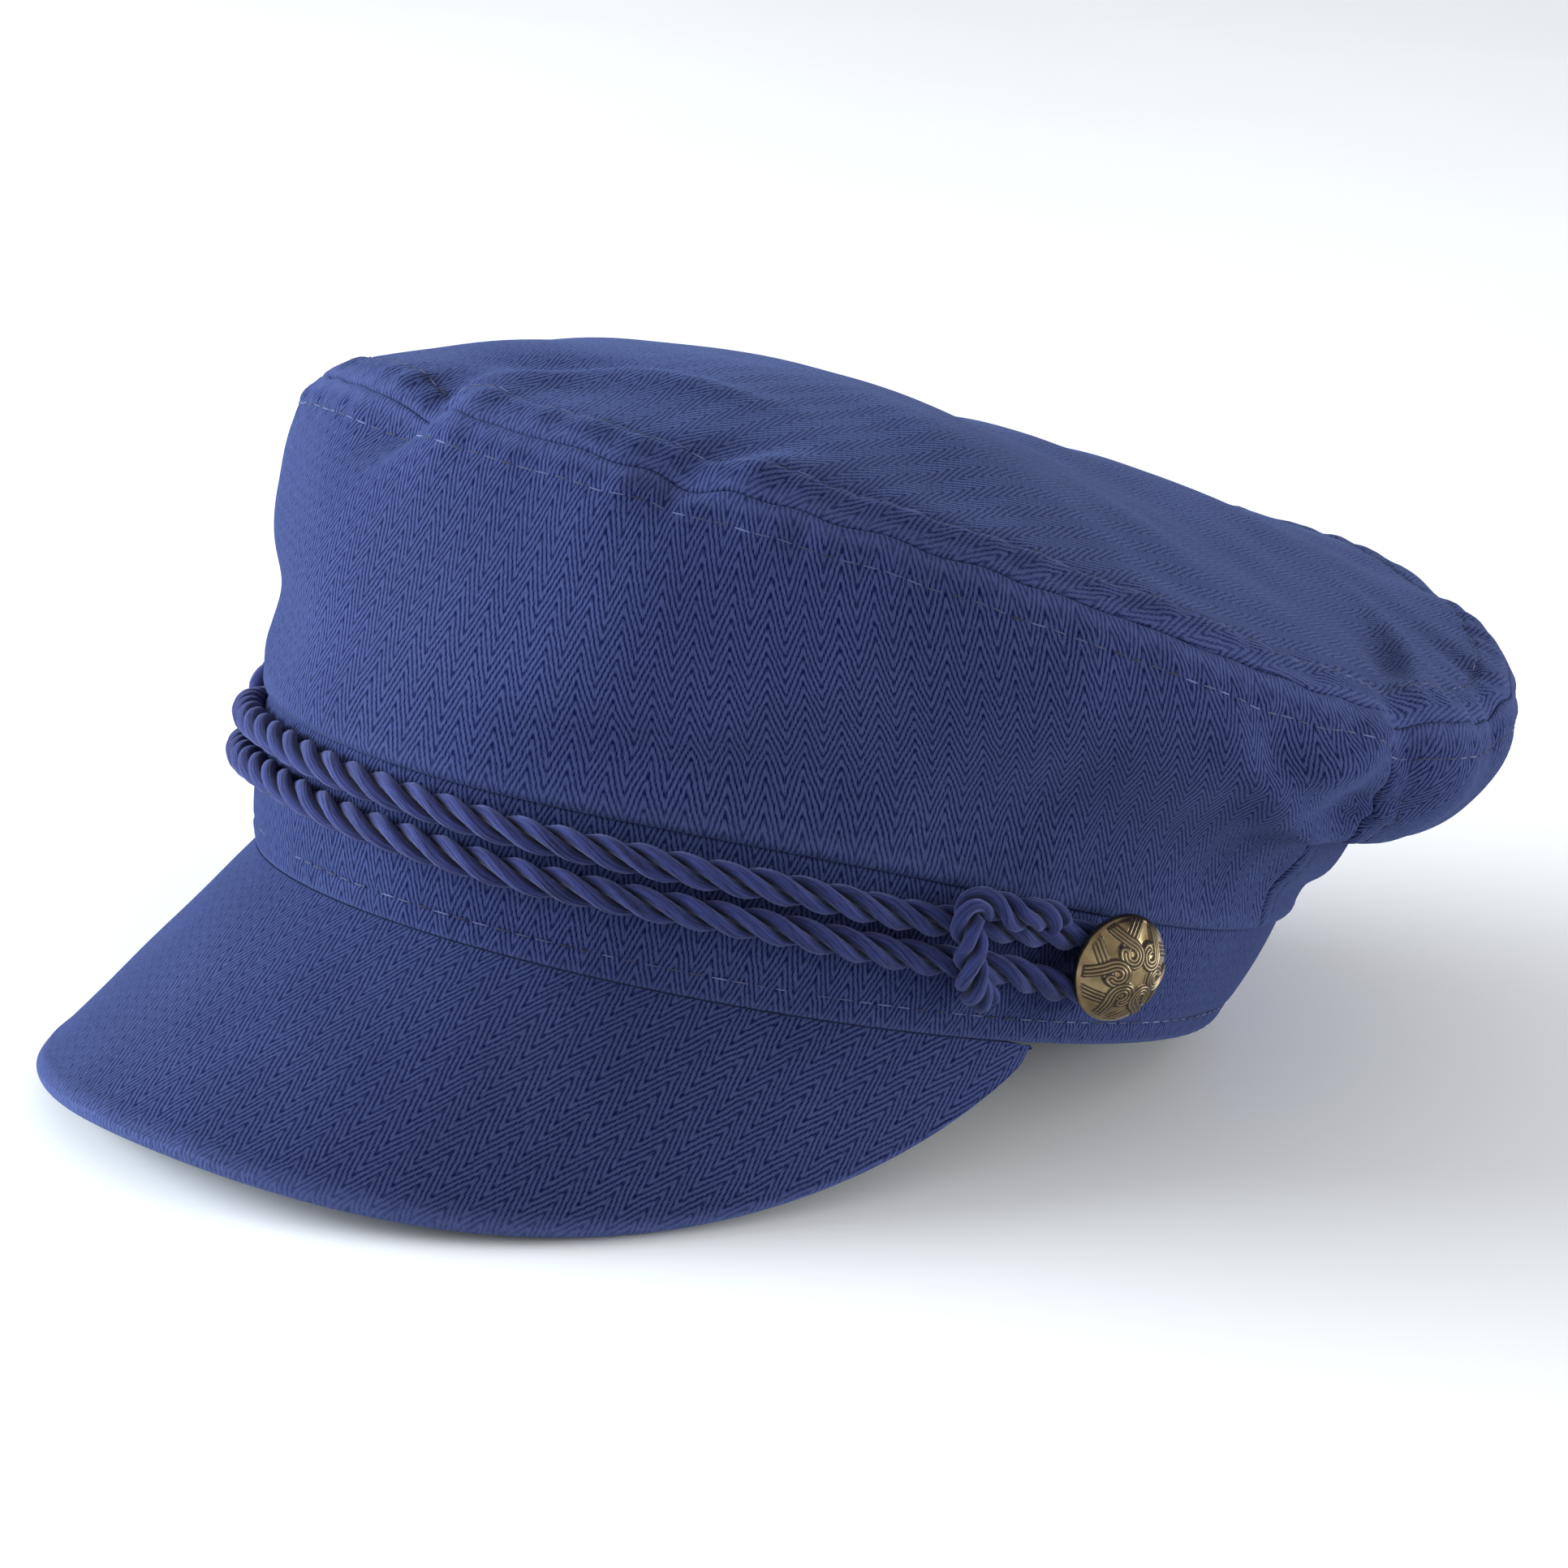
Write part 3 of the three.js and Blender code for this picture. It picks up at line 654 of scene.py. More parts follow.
def twisted_cotton(context):
    """Soft three strand cotton rope, dyed and unpolished.

    It looks matt and a little fuzzy, with fine yarns that run along it, and painted shade where the strands
    press together. The yarns are drawn half a millimetre wide, coarser than the real ones, so they show.
    """
    made = bpy.data.materials.get("twisted_cotton_rope")
    if made:
        return made
    base = tuple(context.scene.cap_colours.rope)
    material, tree, shader = new_material("twisted_cotton_rope")
    in_mm = map_in_mm(tree)
    stretched = node(tree, MAPPING, {"Vector": in_mm, "Scale": (2.1, 0.1, 1)})
    yarn = node(tree, NOISE, {"Vector": stretched, "Scale": 1, "Detail": 2, "Roughness": GRAIN})
    stretched = node(tree, MAPPING, {"Vector": in_mm, "Scale": (6, 0.6, 1)})
    fine = node(tree, NOISE, {"Vector": stretched, "Scale": 1, "Detail": 2, "Roughness": GRAIN})
    fine = node(tree, MATH, [fine, 0.35], operation="MULTIPLY")
    both = node(tree, MATH, [yarn, 0.65, fine], operation="MULTIPLY_ADD")
    dark = opaque(0.22 * c for c in base)
    light = opaque(min(1, 1.6 * c + 0.004) for c in base)
    sunk = node(tree, MAP_RANGE, [both, 0.36, 0.5])
    raised = node(tree, MAP_RANGE, [both, 0.5, 0.64])
    colour = node(tree, MIX, {0: sunk, 6: dark, 7: opaque(base)}, data_type="RGBA").outputs[2]
    colour = node(tree, MIX, {0: raised, 6: colour, 7: light}, data_type="RGBA").outputs[2]
    # Painted shade: the rope is darkened towards its core, where the strands press together.
    painted_crevice_shade = node(tree, ATTRIBUTE, attribute_name="painted_crevice_shade").outputs["Fac"]
    deepest_painted_shade = opaque(0.06 * c for c in base)
    colour = node(tree, MIX, {0: painted_crevice_shade, 6: colour, 7: deepest_painted_shade}, data_type="RGBA").outputs[2]
    bump = node(tree, BUMP, {"Strength": 1, "Distance": 0.4 * MM, "Height": both})
    fill(tree, shader, {
        "Base Color": colour, "Roughness": 0.95, "Specular IOR Level": 0.2, "Normal": bump,
        "Sheen Weight": 0.25, "Sheen Roughness": 0.5, "Sheen Tint": opaque(linear("#BCC5FF")),
    })
    return material


def antique_brass(context):
    """Cast brass, blackened and buffed back.

    It looks warm and satin on its raised faces, clouded with old polish, and nearly black in its grooves.
    """
    colours = context.scene.cap_colours
    base = tuple(colours.brass)
    material, tree, shader = new_material("antique_cast_brass")
    groove = node(tree, ATTRIBUTE, attribute_name="groove").outputs["Fac"]
    solid_mm = object_in_mm(tree)
    grain = node(tree, NOISE, {"Vector": solid_mm, "Scale": 2.2, "Detail": 4, "Roughness": GRAIN})
    cloud = node(tree, NOISE, {"Vector": solid_mm, "Scale": 0.35, "Detail": 2, "Roughness": GRAIN})
    dull = opaque(0.2 * c for c in base)
    face = node(tree, MIX, {0: cloud, 6: opaque(base), 7: dull}, data_type="RGBA").outputs[2]
    tarnish = opaque(colours.tarnish)
    colour = node(tree, MIX, {0: groove, 6: face, 7: tarnish}, data_type="RGBA").outputs[2]
    metal = node(tree, MATH, [groove, -0.7, 1], operation="MULTIPLY_ADD")
    rough = node(tree, MATH, [grain, 0.16, 0.13], operation="MULTIPLY_ADD")
    rough = node(tree, MATH, [groove, 0.35, rough], operation="MULTIPLY_ADD")
    bump = node(tree, BUMP, {"Strength": 0.12, "Distance": 0.03 * MM, "Height": grain})
    fill(tree, shader, {"Base Color": colour, "Metallic": metal, "Roughness": rough, "Normal": bump})
    return material


def cotton_thread(context):
    """Spun cotton sewing thread, dyed: some stitches carry a painted highlight and look pale, some painted
    shade and look dark.
    """
    colours = context.scene.cap_colours
    material, tree, shader = new_material("cotton_sewing_thread")
    # Each stitch's share of painted highlight against painted shade.
    painted_highlight_share = node(tree, ATTRIBUTE, attribute_name="painted_highlight_share").outputs["Fac"]
    shades = {0: painted_highlight_share, 6: opaque(colours.thread_painted_shade), 7: opaque(colours.thread_painted_highlight)}
    colour = node(tree, MIX, shades, data_type="RGBA").outputs[2]
    fill(tree, shader, {"Base Color": colour, "Roughness": 0.7})
    return material


def pale_floor():
    """Painted board: matt white, a little uneven in tone."""
    material, tree, shader = new_material("matt_white_board")
    place = node(tree, TEX_COORD).outputs["Object"]
    tone = node(tree, NOISE, {"Vector": place, "Scale": 3, "Detail": 2, "Roughness": GRAIN})
    tone = node(tree, MAP_RANGE, [tone, 0.4, 0.6])
    shades = {0: tone, 6: opaque(linear("#F3F3F3")), 7: opaque(linear("#F6F6F6"))}
    colour = node(tree, MIX, shades, data_type="RGBA").outputs[2]
    fill(tree, shader, {"Base Color": colour, "Roughness": 0.9})
    return material


# Sizes and colours that a user would change
class CapSizes(bpy.types.PropertyGroup):
    cloth_wall: bpy.props.FloatProperty(
        name="Cloth", description="Thickness of the crown's cloth with its facing",
        default=1.5 * MM, unit="LENGTH", subtype="DISTANCE",
    )
    seam_roll: bpy.props.FloatProperty(
        name="Seam roll", description="Radius with which cloth turns into a seam",
        default=1.1 * MM, unit="LENGTH", subtype="DISTANCE",
    )
    side_row: bpy.props.FloatProperty(
        name="Side row", description="Distance of the stitched row below the crown seam",
        default=5 * MM, unit="LENGTH", subtype="DISTANCE",
    )
    top_row: bpy.props.FloatProperty(
        name="Top row", description="Distance of the stitched row above the crown seam",
        default=7.5 * MM, unit="LENGTH", subtype="DISTANCE",
    )
    band_stitch: bpy.props.FloatProperty(
        name="Band stitch", description="Height of the stitched row above the band's lower edge",
        default=4.3 * MM, unit="LENGTH", subtype="DISTANCE",
    )
    stitch_length: bpy.props.FloatProperty(
        name="Stitch", description="Length of one stitch",
        default=3.1 * MM, unit="LENGTH", subtype="DISTANCE",
    )
    thread: bpy.props.FloatProperty(
        name="Thread", description="Thickness of the sewing thread",
        default=0.32 * MM, unit="LENGTH", subtype="DISTANCE",
    )
    stripe: bpy.props.FloatProperty(
        name="Stripe", description="Width of one herringbone column",
        default=3.0 * MM, unit="LENGTH", subtype="DISTANCE",
    )
    twill_pitch: bpy.props.FloatProperty(
        name="Twill pitch", description="Distance between twill lines across a column",
        default=0.9 * MM, unit="LENGTH", subtype="DISTANCE",
    )
    twill_rise: bpy.props.FloatProperty(
        name="Twill rise", description="Distance between twill lines along a column",
        default=2.75 * MM, unit="LENGTH", subtype="DISTANCE",
    )
    yarn: bpy.props.FloatProperty(
        name="Yarn", description="Width of one of the cloth's upright yarns",
        default=0.33 * MM, unit="LENGTH", subtype="DISTANCE",
    )
    rope_lay: bpy.props.FloatProperty(
        name="Rope lay", description="Length in which a rope's strands turn once",
        default=21 * MM, unit="LENGTH", subtype="DISTANCE",
    )


class CapColours(bpy.types.PropertyGroup):
    cloth_light: bpy.props.FloatVectorProperty(
        name="Cloth floats", description="Colour of the cloth's raised yarns",
        subtype="COLOR", size=3, min=0, max=1, default=linear("#39426A"),
    )
    cloth_dark: bpy.props.FloatVectorProperty(
        name="Cloth grooves", description="Colour between the cloth's yarns",
        subtype="COLOR", size=3, min=0, max=1, default=linear("#040935"),
    )
    rope: bpy.props.FloatVectorProperty(
        name="Rope", description="Colour of the cotton ropes",
        subtype="COLOR", size=3, min=0, max=1, default=linear("#272D5B"),
    )
    brass: bpy.props.FloatVectorProperty(
        name="Brass", description="Colour of the buffed brass",
        subtype="COLOR", size=3, min=0, max=1, default=linear("#AC9570"),
    )
    tarnish: bpy.props.FloatVectorProperty(
        name="Tarnish", description="Colour left in the brass's grooves",
        subtype="COLOR", size=3, min=0, max=1, default=linear("#0F0A07"),
    )
    # The two thread colours are one thread painted twice: with a painted highlight and with painted shade.
    thread_painted_highlight: bpy.props.FloatVectorProperty(
        name="Lit thread", description="Colour of the thread that catches the light",
        subtype="COLOR", size=3, min=0, max=1, default=linear("#5A6390"),
    )
    thread_painted_shade: bpy.props.FloatVectorProperty(
        name="Sunk thread", description="Colour of the thread that sinks into the cloth",
        subtype="COLOR", size=3, min=0, max=1, default=linear("#12152F"),
    )


# Crown cloth. How far it swells or sinks, in millimetres
SHOULDER = 0.9
DOUBLED_EDGE = 0.35
GATHERS = 0.27
ROW_SINK = 0.34
SEAM_SWERVE = 0.36
SIDE_SOFTNESS = 0.35
TOP_SOFTNESS = 0.45
LAP = 0.3
LAP_SINK = 0.25


def run_along(places):
    """Distance from the first of a line of places to each of them."""
    return np.concatenate([[0], np.cumsum(np.linalg.norm(np.diff(places, axis=0), axis=1))])


def arc_table(line):
    """Distance round the cap along a line, as a function of the angle."""
    angles = np.linspace(-math.pi, 2 * math.pi, 2161)
    distance = run_along(line(angles))
    return lambda angle: np.interp(angle, angles, distance)


def middle_line(angle):
    return (seam_line(angle) + band_head(angle)) / 2


def side_length(angle):
    shares = np.linspace(0, 1, 25)
    places = np.stack([side_surface(angle, np.full_like(angle, share)) for share in shares])
    return np.linalg.norm(np.diff(places, axis=0), axis=2).sum(axis=0)


SIDE_ROUND = arc_table(middle_line)
BAND_ROUND = arc_table(band_foot)
LENGTH_ANGLES = np.linspace(-math.pi, 2 * math.pi, 721)
LENGTHS = side_length(LENGTH_ANGLES)


def length_at(angle):
    return np.interp(angle, LENGTH_ANGLES, LENGTHS)


def upright_run(angle, share):
    """Distance round the cap of the upright line through a place on the side."""
    place = side_surface(angle, share)
    turn = np.array(angle, float)
    for _ in range(6):
        along = (middle_line(turn + 0.01) - middle_line(turn - 0.01)) / 0.02
        along[..., 2] = 0
        away = place - middle_line(turn)
        turn = turn + (away * along).sum(axis=-1) / (along * along).sum(axis=-1)
    return SIDE_ROUND(turn)


def side_map(angle, share, middle):
    """Place on the flat side panel. It is cut on a curve, so its weave is upright at its middle alone."""
    heading = (upright_run(angle, share) - SIDE_ROUND(middle)) / PANEL_CURVE
    reach = PANEL_CURVE + (share - 0.5) * length_at(angle)
    return np.stack([reach * np.sin(heading), reach * np.cos(heading) - PANEL_CURVE], axis=-1)


def shared_normal(angle):
    """Direction out of the cap between the side and the top, at their seam."""
    side = normal_of(side_surface, angle, np.ones_like(angle))
    return unit(side + normal_of(top_surface, angle, np.zeros_like(angle)))


def seam_finish(distance, angle, row, seed):
    """How far a sheet stands out beside the crown seam: shoulder, doubled edge, gathers and stitched row."""
    shoulder = SHOULDER * smooth(distance, 0, 6) * (1 - smooth(distance, 7, 21))
    doubled = DOUBLED_EDGE * smooth(distance, 0.5, 2.5) * (1 - smooth(distance, row - 0.8, row + 1.4))
    gathers = GATHERS * puckers(angle, 50, 120, seed) * hump(distance, row / 2 + 1, row / 2)
    gathers = gathers * smooth(distance, 0, 2.5)
    return shoulder + doubled + gathers - ROW_SINK * hump(distance, row, 0.8)


def seam_wander(angle, distance):
    """The seam line's small swerves, which both sheets follow and which die out away from it."""
    along = seam_line(angle + 0.01) - seam_line(angle - 0.01)
    across = unit(np.cross(shared_normal(angle), along))
    return times(SEAM_SWERVE * puckers(angle, 26, 60, 5) * np.exp(-distance / 7), across)


def side_cloth(sizes, angle, share):
    rolled = sizes.seam_roll / MM
    place = side_surface(angle, share)
    normal = normal_of(side_surface, angle, share)
    length = length_at(angle)
    from_seam = (1 - share) * length
    from_hem = share * length
    loose = smooth(from_hem, 0, 8) * smooth(from_seam, 0, 4)
    soft = SIDE_SOFTNESS * ripple(place, 26, 3) * loose
    out = seam_finish(from_seam, angle, sizes.side_row / MM, 11) + soft
    side_seam = np.radians(side_seam_turn(share))
    beside = (np.abs(angle - math.pi) - (math.pi - side_seam)) * HEAD_HALF_LENGTH
    lap = LAP * smooth(np.abs(beside), 0.4, 1.6) * hump(beside, 0, 5) - LAP_SINK * hump(beside, -5, 0.8)
    out = out + lap * smooth(from_seam, 0, 4)
    place = place + times(out, normal) + seam_wander(angle, from_seam)
    place = place - times(roll(from_seam, rolled), shared_normal(angle))
    place = place - times(roll(np.abs(beside), 0.8 * rolled) * smooth(from_seam, 0, 3), normal)
    hem = level_normal(band_foot, angle)
    return place - times(roll(from_hem, HEM_STEP - 0.2), hem)


def top_cloth(sizes, angle, share):
    rolled = sizes.seam_roll / MM
    place = top_surface(angle, share)
    normal = normal_of(top_surface, angle, share)
    normal = unit(normal + times(smooth(share, 0.9, 1), point(0, 0, 30)))
    from_seam = share * np.linalg.norm(seam_line(angle) - point(0, CROWN_SETBACK, SEAM_HEIGHT), axis=-1)
    soft = TOP_SOFTNESS * ripple(place, 34, 3) * smooth(from_seam, 0, 4)
    out = seam_finish(from_seam, angle, sizes.top_row / MM, 23) + soft
    place = place + times(out, normal) + seam_wander(angle, from_seam)
    return place - times(roll(from_seam, rolled), shared_normal(angle))


def edge_rows(row):
    """Distances from a seam, closest where the cloth turns in and at the stitched row."""
    near = np.array([0, 0.06, 0.2, 0.4, 0.65, 0.95, 1.4, 2, 2.8])
    return merged(near, spaced(3.6, row - 1.6, 1), spaced(row - 1.2, row + 1.4, 0.4))


def side_rows(sizes):
    length = float(length_at(0.0))
    hem = length - np.array([0, 0.1, 0.3, 0.6, 1, 1.5, 2.2])
    down = merged(edge_rows(sizes.side_row / MM), spaced(7.5, length - 3, 1.3), hem)
    return np.sort(np.clip(1 - down / length, 0, 1))


def make_side_panel(context, name, start, end, material):
    """One panel of the crown's side, between two side seams. start and end give its edges at each height."""
    sizes = context.scene.cap_sizes
    middle = math.radians(start(0) + end(0)) / 2
    near = np.array([0, 0.0006, 0.002, 0.004, 0.007, 0.011])
    columns = merged(near, spaced(0.014, 0.986, 1 / 330), 1 - near)

    def angle_at(u, share):
        return np.radians(start(share) + (end(share) - start(share)) * u)

    def place(u, share):
        return side_cloth(sizes, angle_at(u, share), share)

    def uv(u, share):
        return side_map(angle_at(u, share), share, middle)

    def marks(u, share):
        angle = angle_at(u, share)
        from_seam = (1 - share) * length_at(angle)
        return {"wear": 0.5 * hump(from_seam, 1.3, 1.2) + 0.25 * hump(share * length_at(angle), 1.5, 1.5)}

    bm = grid_mesh(columns, side_rows(sizes), place, uv, marks)
    piece = finish_piece(new_piece(f"crown_{name}_panel", bm), material, "cloth", f"crown_side_{name}")
    thicken(piece, sizes.cloth_wall)


class CAP_OT_crown(bpy.types.Operator):
    """Makes the crown: a round top panel, a long front panel and a rear panel, with their seams."""

    bl_idname = "cap.crown"
    bl_label = "Crown cloth"

    def execute(self, context):
        sizes = context.scene.cap_sizes
        cloth = herringbone(context)
        left = side_seam_turn
        make_side_panel(context, "front", lambda share: -left(share), left, cloth)
        make_side_panel(context, "rear", left, lambda share: 360 - left(share), cloth)
        angles = np.linspace(0, 2 * math.pi, 441)
        down = merged(edge_rows(sizes.top_row / MM), spaced(10, CROWN_HALF_WIDTH - 4, 2.1))
        shares = np.append(down / CROWN_HALF_WIDTH, [1])

        def uv(angle, share):
            return top_surface(angle, share)[..., :2]

        def marks(angle, share):
            return {"wear": 0.5 * hump(share * CROWN_HALF_WIDTH, 1.3, 1.2)}

        bm = grid_mesh(angles, shares, lambda a, b: top_cloth(sizes, a, b), uv, marks, wrap=("columns",))
        piece = finish_piece(new_piece("crown_top_panel", bm), cloth, "cloth", "crown_top")
        thicken(piece, sizes.cloth_wall)
        return {"FINISHED"}


# Band and peak. How far their cloth swells or sinks, in millimetres
BAND_GATHERS = 0.14
BAND_ROW_SINK = 0.3
BAND_SOFTNESS = 0.25
PEAK_SOFTNESS = 0.12
RIM_BEAD = 0.22
RIM_GROOVE = 0.16
RIM_REACH = 0.9


class CAP_OT_band(bpy.types.Operator):
    """Makes the upright band: a closed cloth ring with rounded edges, pressed flat where it rests."""

    bl_idname = "cap.band"
    bl_label = "Band"

    def execute(self, context):
        sizes = context.scene.cap_sizes
        cloth = herringbone(context)
        half = BAND_WALL / 2
        row = sizes.band_stitch / MM
        bottom = np.linspace(math.pi, 2 * math.pi, 9)[:-1]
        top = np.linspace(0, math.pi, 7)[1:-1]
        high = BAND_HEIGHT - half
        at_row = spaced(row - 0.8, row + 0.8, 0.4)
        outside = merged(spaced(half, row - 1, 0.9), at_row, spaced(row + 1, high, 1))
        inside = spaced(high, half, 2.4)[:-1]
        profile = [(half * (squared(math.cos(t)) - 1), half * (1 + squared(math.sin(t)))) for t in bottom]
        profile += [(0, up) for up in outside]
        profile += [(half * (math.cos(t) - 1), high + half * math.sin(t)) for t in top]
        profile += [(-BAND_WALL, up) for up in inside]
        profile.append(profile[0])
        profile = np.array(profile)
        run = run_along(profile)
        angles = np.linspace(0, 2 * math.pi, 421)

        def place(angle, index):
            k = index.astype(int)
            proud, up = profile[k, 0], profile[k, 1]
            edge = np.minimum(up, BAND_HEIGHT - up)
            height = band_height(angle)
            upper = smooth(up, 0.35 * BAND_HEIGHT, 0.65 * BAND_HEIGHT)
            real = up + (height - BAND_HEIGHT) * upper
            normal = level_normal(band_foot, angle)
            gathers = BAND_GATHERS * puckers(angle, 60, 130, 41) * hump(up, row / 2, row / 2)
            soft = BAND_SOFTNESS * ripple(band_surface(angle, np.zeros_like(angle)), 30, 8)
            out = gathers - BAND_ROW_SINK * hump(up, row, 0.7) + soft * smooth(edge, 0, 4)
            out = np.where(proud > -half, out, 0)
            return above_floor(band_surface(angle, real / height) + times(proud + out, normal))

        def uv(angle, index):
            return np.stack([BAND_ROUND(angle), run[index.astype(int)]], axis=-1)

        def marks(angle, index):
            up = profile[index.astype(int), 1]
            return {"wear": 0.45 * hump(up, 0.3, 0.9)}

        bm = grid_mesh(angles, np.arange(len(profile)), place, uv, marks, wrap=("columns", "rows"))
        face_outwards(bm)
        finish_piece(new_piece("band_cloth", bm), cloth, "cloth", "band")
        return {"FINISHED"}


class CAP_OT_peak(bpy.types.Operator):
    """Makes the peak: a stiff board wrapped in cloth, with a worn rounded rim and a tab under the band."""

    bl_idname = "cap.peak"
    bl_label = "Peak"

    def execute(self, context):
        cloth = herringbone(context)
        reach = math.radians(PEAK_SPREAD) * 0.985
        half = PEAK_WALL / 2
        top, rim, under = 0, 1, 2
        shares = merged([0, 0.01, 0.025, 0.05], np.linspace(0.07, 0.97, 46), [0.985, 1])
        profile = [(top, -1 + 0.25 * k) for k in range(4)]
        profile += [(top, share) for share in shares]
        profile += [(rim, turn) for turn in np.linspace(0, 180, 11)[1:-1]]
        profile += [(under, share) for share in np.linspace(1, 0, 28)]
        profile += [(under, -0.34 * k) for k in range(1, 4)]
        profile.append(profile[0])
        part, value = np.array(profile, float).T
        columns = np.sin(np.linspace(-math.pi / 2, math.pi / 2, 231)) * reach
        flat_angles, spots, headings = flat_peak()

        def place(angle, index):
            k = index.astype(int)
            kind, v = part[k], value[k]
            share = np.where(kind == rim, 1, np.clip(v, 0, 1))
            tab = np.clip(-v, 0, 1) * (kind != rim)
            flat_normal = peak_normal(angle)
            up = np.broadcast_to(point(0, 0, 1), flat_normal.shape)
            near = smooth(share, 0, 0.06)
            normal = unit(times(1 - near, unit(flat_normal + up)) + times(near, flat_normal))
            normal = unit(times(1 - tab, normal) + times(tab, up))
            base = peak_surface(angle, share) - times(BAND_WALL * tab, level_normal(band_foot, angle))
            turn = np.radians(np.where(kind == rim, v, 0))
            end = np.sqrt(np.clip(1 - (np.abs(angle) / reach) ** 24, 0, 1))
            sink = np.where(kind == rim, half * (1 - np.cos(turn)), np.where(kind == under, PEAK_WALL, 0))
            sink = half + (sink - half) * end
            reach_out = np.where(kind == rim, RIM_REACH * np.sin(turn), 0) * end
            wavy = PEAK_SOFTNESS * ripple(base, 22, 15) * smooth(share, 0.02, 0.2)
            bead = RIM_BEAD * hump(share, 0.965, 0.02) - RIM_GROOVE * hump(share, 0.925, 0.015)
            raised = (wavy + bead) * (kind == top) * end
            return above_floor(base - times(sink - raised, normal) + times(reach_out, peak_ruling(angle)))

        def uv(angle, index):
            k = index.astype(int)
            kind, v = part[k], value[k]
            length = peak_length(angle)
            run = np.where(kind == rim, length + v / 180 * PEAK_WALL, v * length)
            run = np.where(kind == under, (2 - v) * length + PEAK_WALL, run)
            turn = np.abs(angle)
            heading = np.interp(turn, flat_angles, headings)
            across = np.interp(turn, flat_angles, spots[:, 0]) + run * np.cos(heading)
            along = np.interp(turn, flat_angles, spots[:, 1]) + run * np.sin(heading)
            return np.stack([np.sign(angle) * across, along], axis=-1)

        def marks(angle, index):
            k = index.astype(int)
            outer = np.where(part[k] == top, value[k], 0)
            return {"wear": np.where(part[k] == rim, 1, 0.75 * hump(outer, 1, 0.035))}

        bm = grid_mesh(columns, np.arange(len(profile)), place, uv, marks, wrap=("rows",))
        bmesh.ops.dissolve_degenerate(bm, dist=1e-6, edges=bm.edges)
        face_outwards(bm)
        finish_piece(new_piece("peak_cloth", bm), cloth, "cloth", "peak")
        return {"FINISHED"}


# Ropes. A strand's radius is a share of the rope's, and its yarns' ridges a share of its own
STRAND_SHARE = 0.485
STRAND_SIDES = 22
YARNS = 9
YARN_RELIEF = 0.035
YARN_SLANT = 0.17
KNOT_THICKER = 1.04
KNOT_TIGHTER = 0.72


def eased(table, name, turn):
    turns = np.array([row.turn for row in table], float)
    heights = np.array([getattr(row, name) for row in table])
    k = np.clip(np.searchsorted(turns, turn) - 1, 0, len(turns) - 2)
    t = smooth(turn, turns[k], turns[k + 1])
    return heights[k] + (heights[k + 1] - heights[k]) * t


def curve_through(points, count):
    """A smooth curve through chosen points, as count points evenly spaced."""
    ends = [2 * points[0] - points[1], *points, 2 * points[-1] - points[-2]]
    places = []
    for before, start, end, after in zip(ends, ends[1:], ends[2:], ends[3:]):
        t = np.linspace(0, 1, 24, endpoint=False)[:, None]
        a = 2 * start
        b = end - before
        c = 2 * before - 5 * start + 4 * end - after
        d = -before + 3 * start - 3 * end + after
        places.append((a + b * t + c * t * t + d * t ** 3) / 2)
    return evenly(np.concatenate([*places, [points[-1]]]), count)


def evenly(places, count):
    run = run_along(places)
    at = np.linspace(0, run[-1], count)
    return np.stack([np.interp(at, run, places[:, axis]) for axis in range(3)], axis=1)


def make_rope(name, places, radius, lay, material, node_name):
    """A rope of three strands round a line of places, each strand with fine yarn ridges."""
    along = unit(np.gradient(places, axis=0))
    outwards = unit(places * np.array([1 / HEAD_HALF_WIDTH ** 2, 1 / HEAD_HALF_LENGTH ** 2, 0]))
    out = unit(outwards - times((outwards * along).sum(axis=1), along))
    beside = np.cross(along, out)
    run = run_along(places)
    strand_radius = STRAND_SHARE * radius
    offset = radius - strand_radius
    columns = np.arange(len(places))
    rows = np.linspace(0, 1, STRAND_SIDES + 1)
    whole = bmesh.new()
    strand_mesh = bpy.data.meshes.new(name)
    for strand in range(3):
        start = 2 * math.pi * strand / 3

        def around(index, share):
            k = index.astype(int)
            twist = 2 * math.pi * run[k] / lay + start
            phi = twist + math.pi + 2 * math.pi * share
            end = np.clip(np.minimum(run[k], run[-1] - run[k]) / (0.4 * radius), 0, 1)
            thick = strand_radius * np.sqrt(np.clip(end * (2 - end), 0.0004, 1))
            yarns = 1 + YARN_RELIEF * np.cos(2 * math.pi * YARNS * share + run[k] * 0.9)
            x = offset * np.cos(twist) + thick * yarns * np.cos(phi)
            y = offset * np.sin(twist) + 0.94 * thick * yarns * np.sin(phi)
            return k, x, y

        def place(index, share):
            k, x, y = around(index, share)
            return places[k] + times(x, out[k]) + times(y, beside[k])

        def uv(index, share):
            k = index.astype(int)
            around_strand = 2 * math.pi * strand_radius * (share + 3 * strand)
            return np.stack([around_strand + YARN_SLANT * run[k], run[k]], axis=-1)

        def marks(index, share):
            _, x, y = around(index, share)
            # Painted shade, darkest towards the rope's core between its strands.
            return {"painted_crevice_shade": 1 - smooth(np.hypot(x, y) / radius, 0.5, 0.86)}

        bm = grid_mesh(columns, rows, place, uv, marks, wrap=("rows",))
        bmesh.ops.holes_fill(bm, edges=[edge for edge in bm.edges if edge.is_boundary])
        face_outwards(bm)
        bm.to_mesh(strand_mesh)
        bm.free()
        whole.from_mesh(strand_mesh)
    bpy.data.meshes.remove(strand_mesh)
    return finish_piece(new_piece(name, whole), material, "rope", node_name)


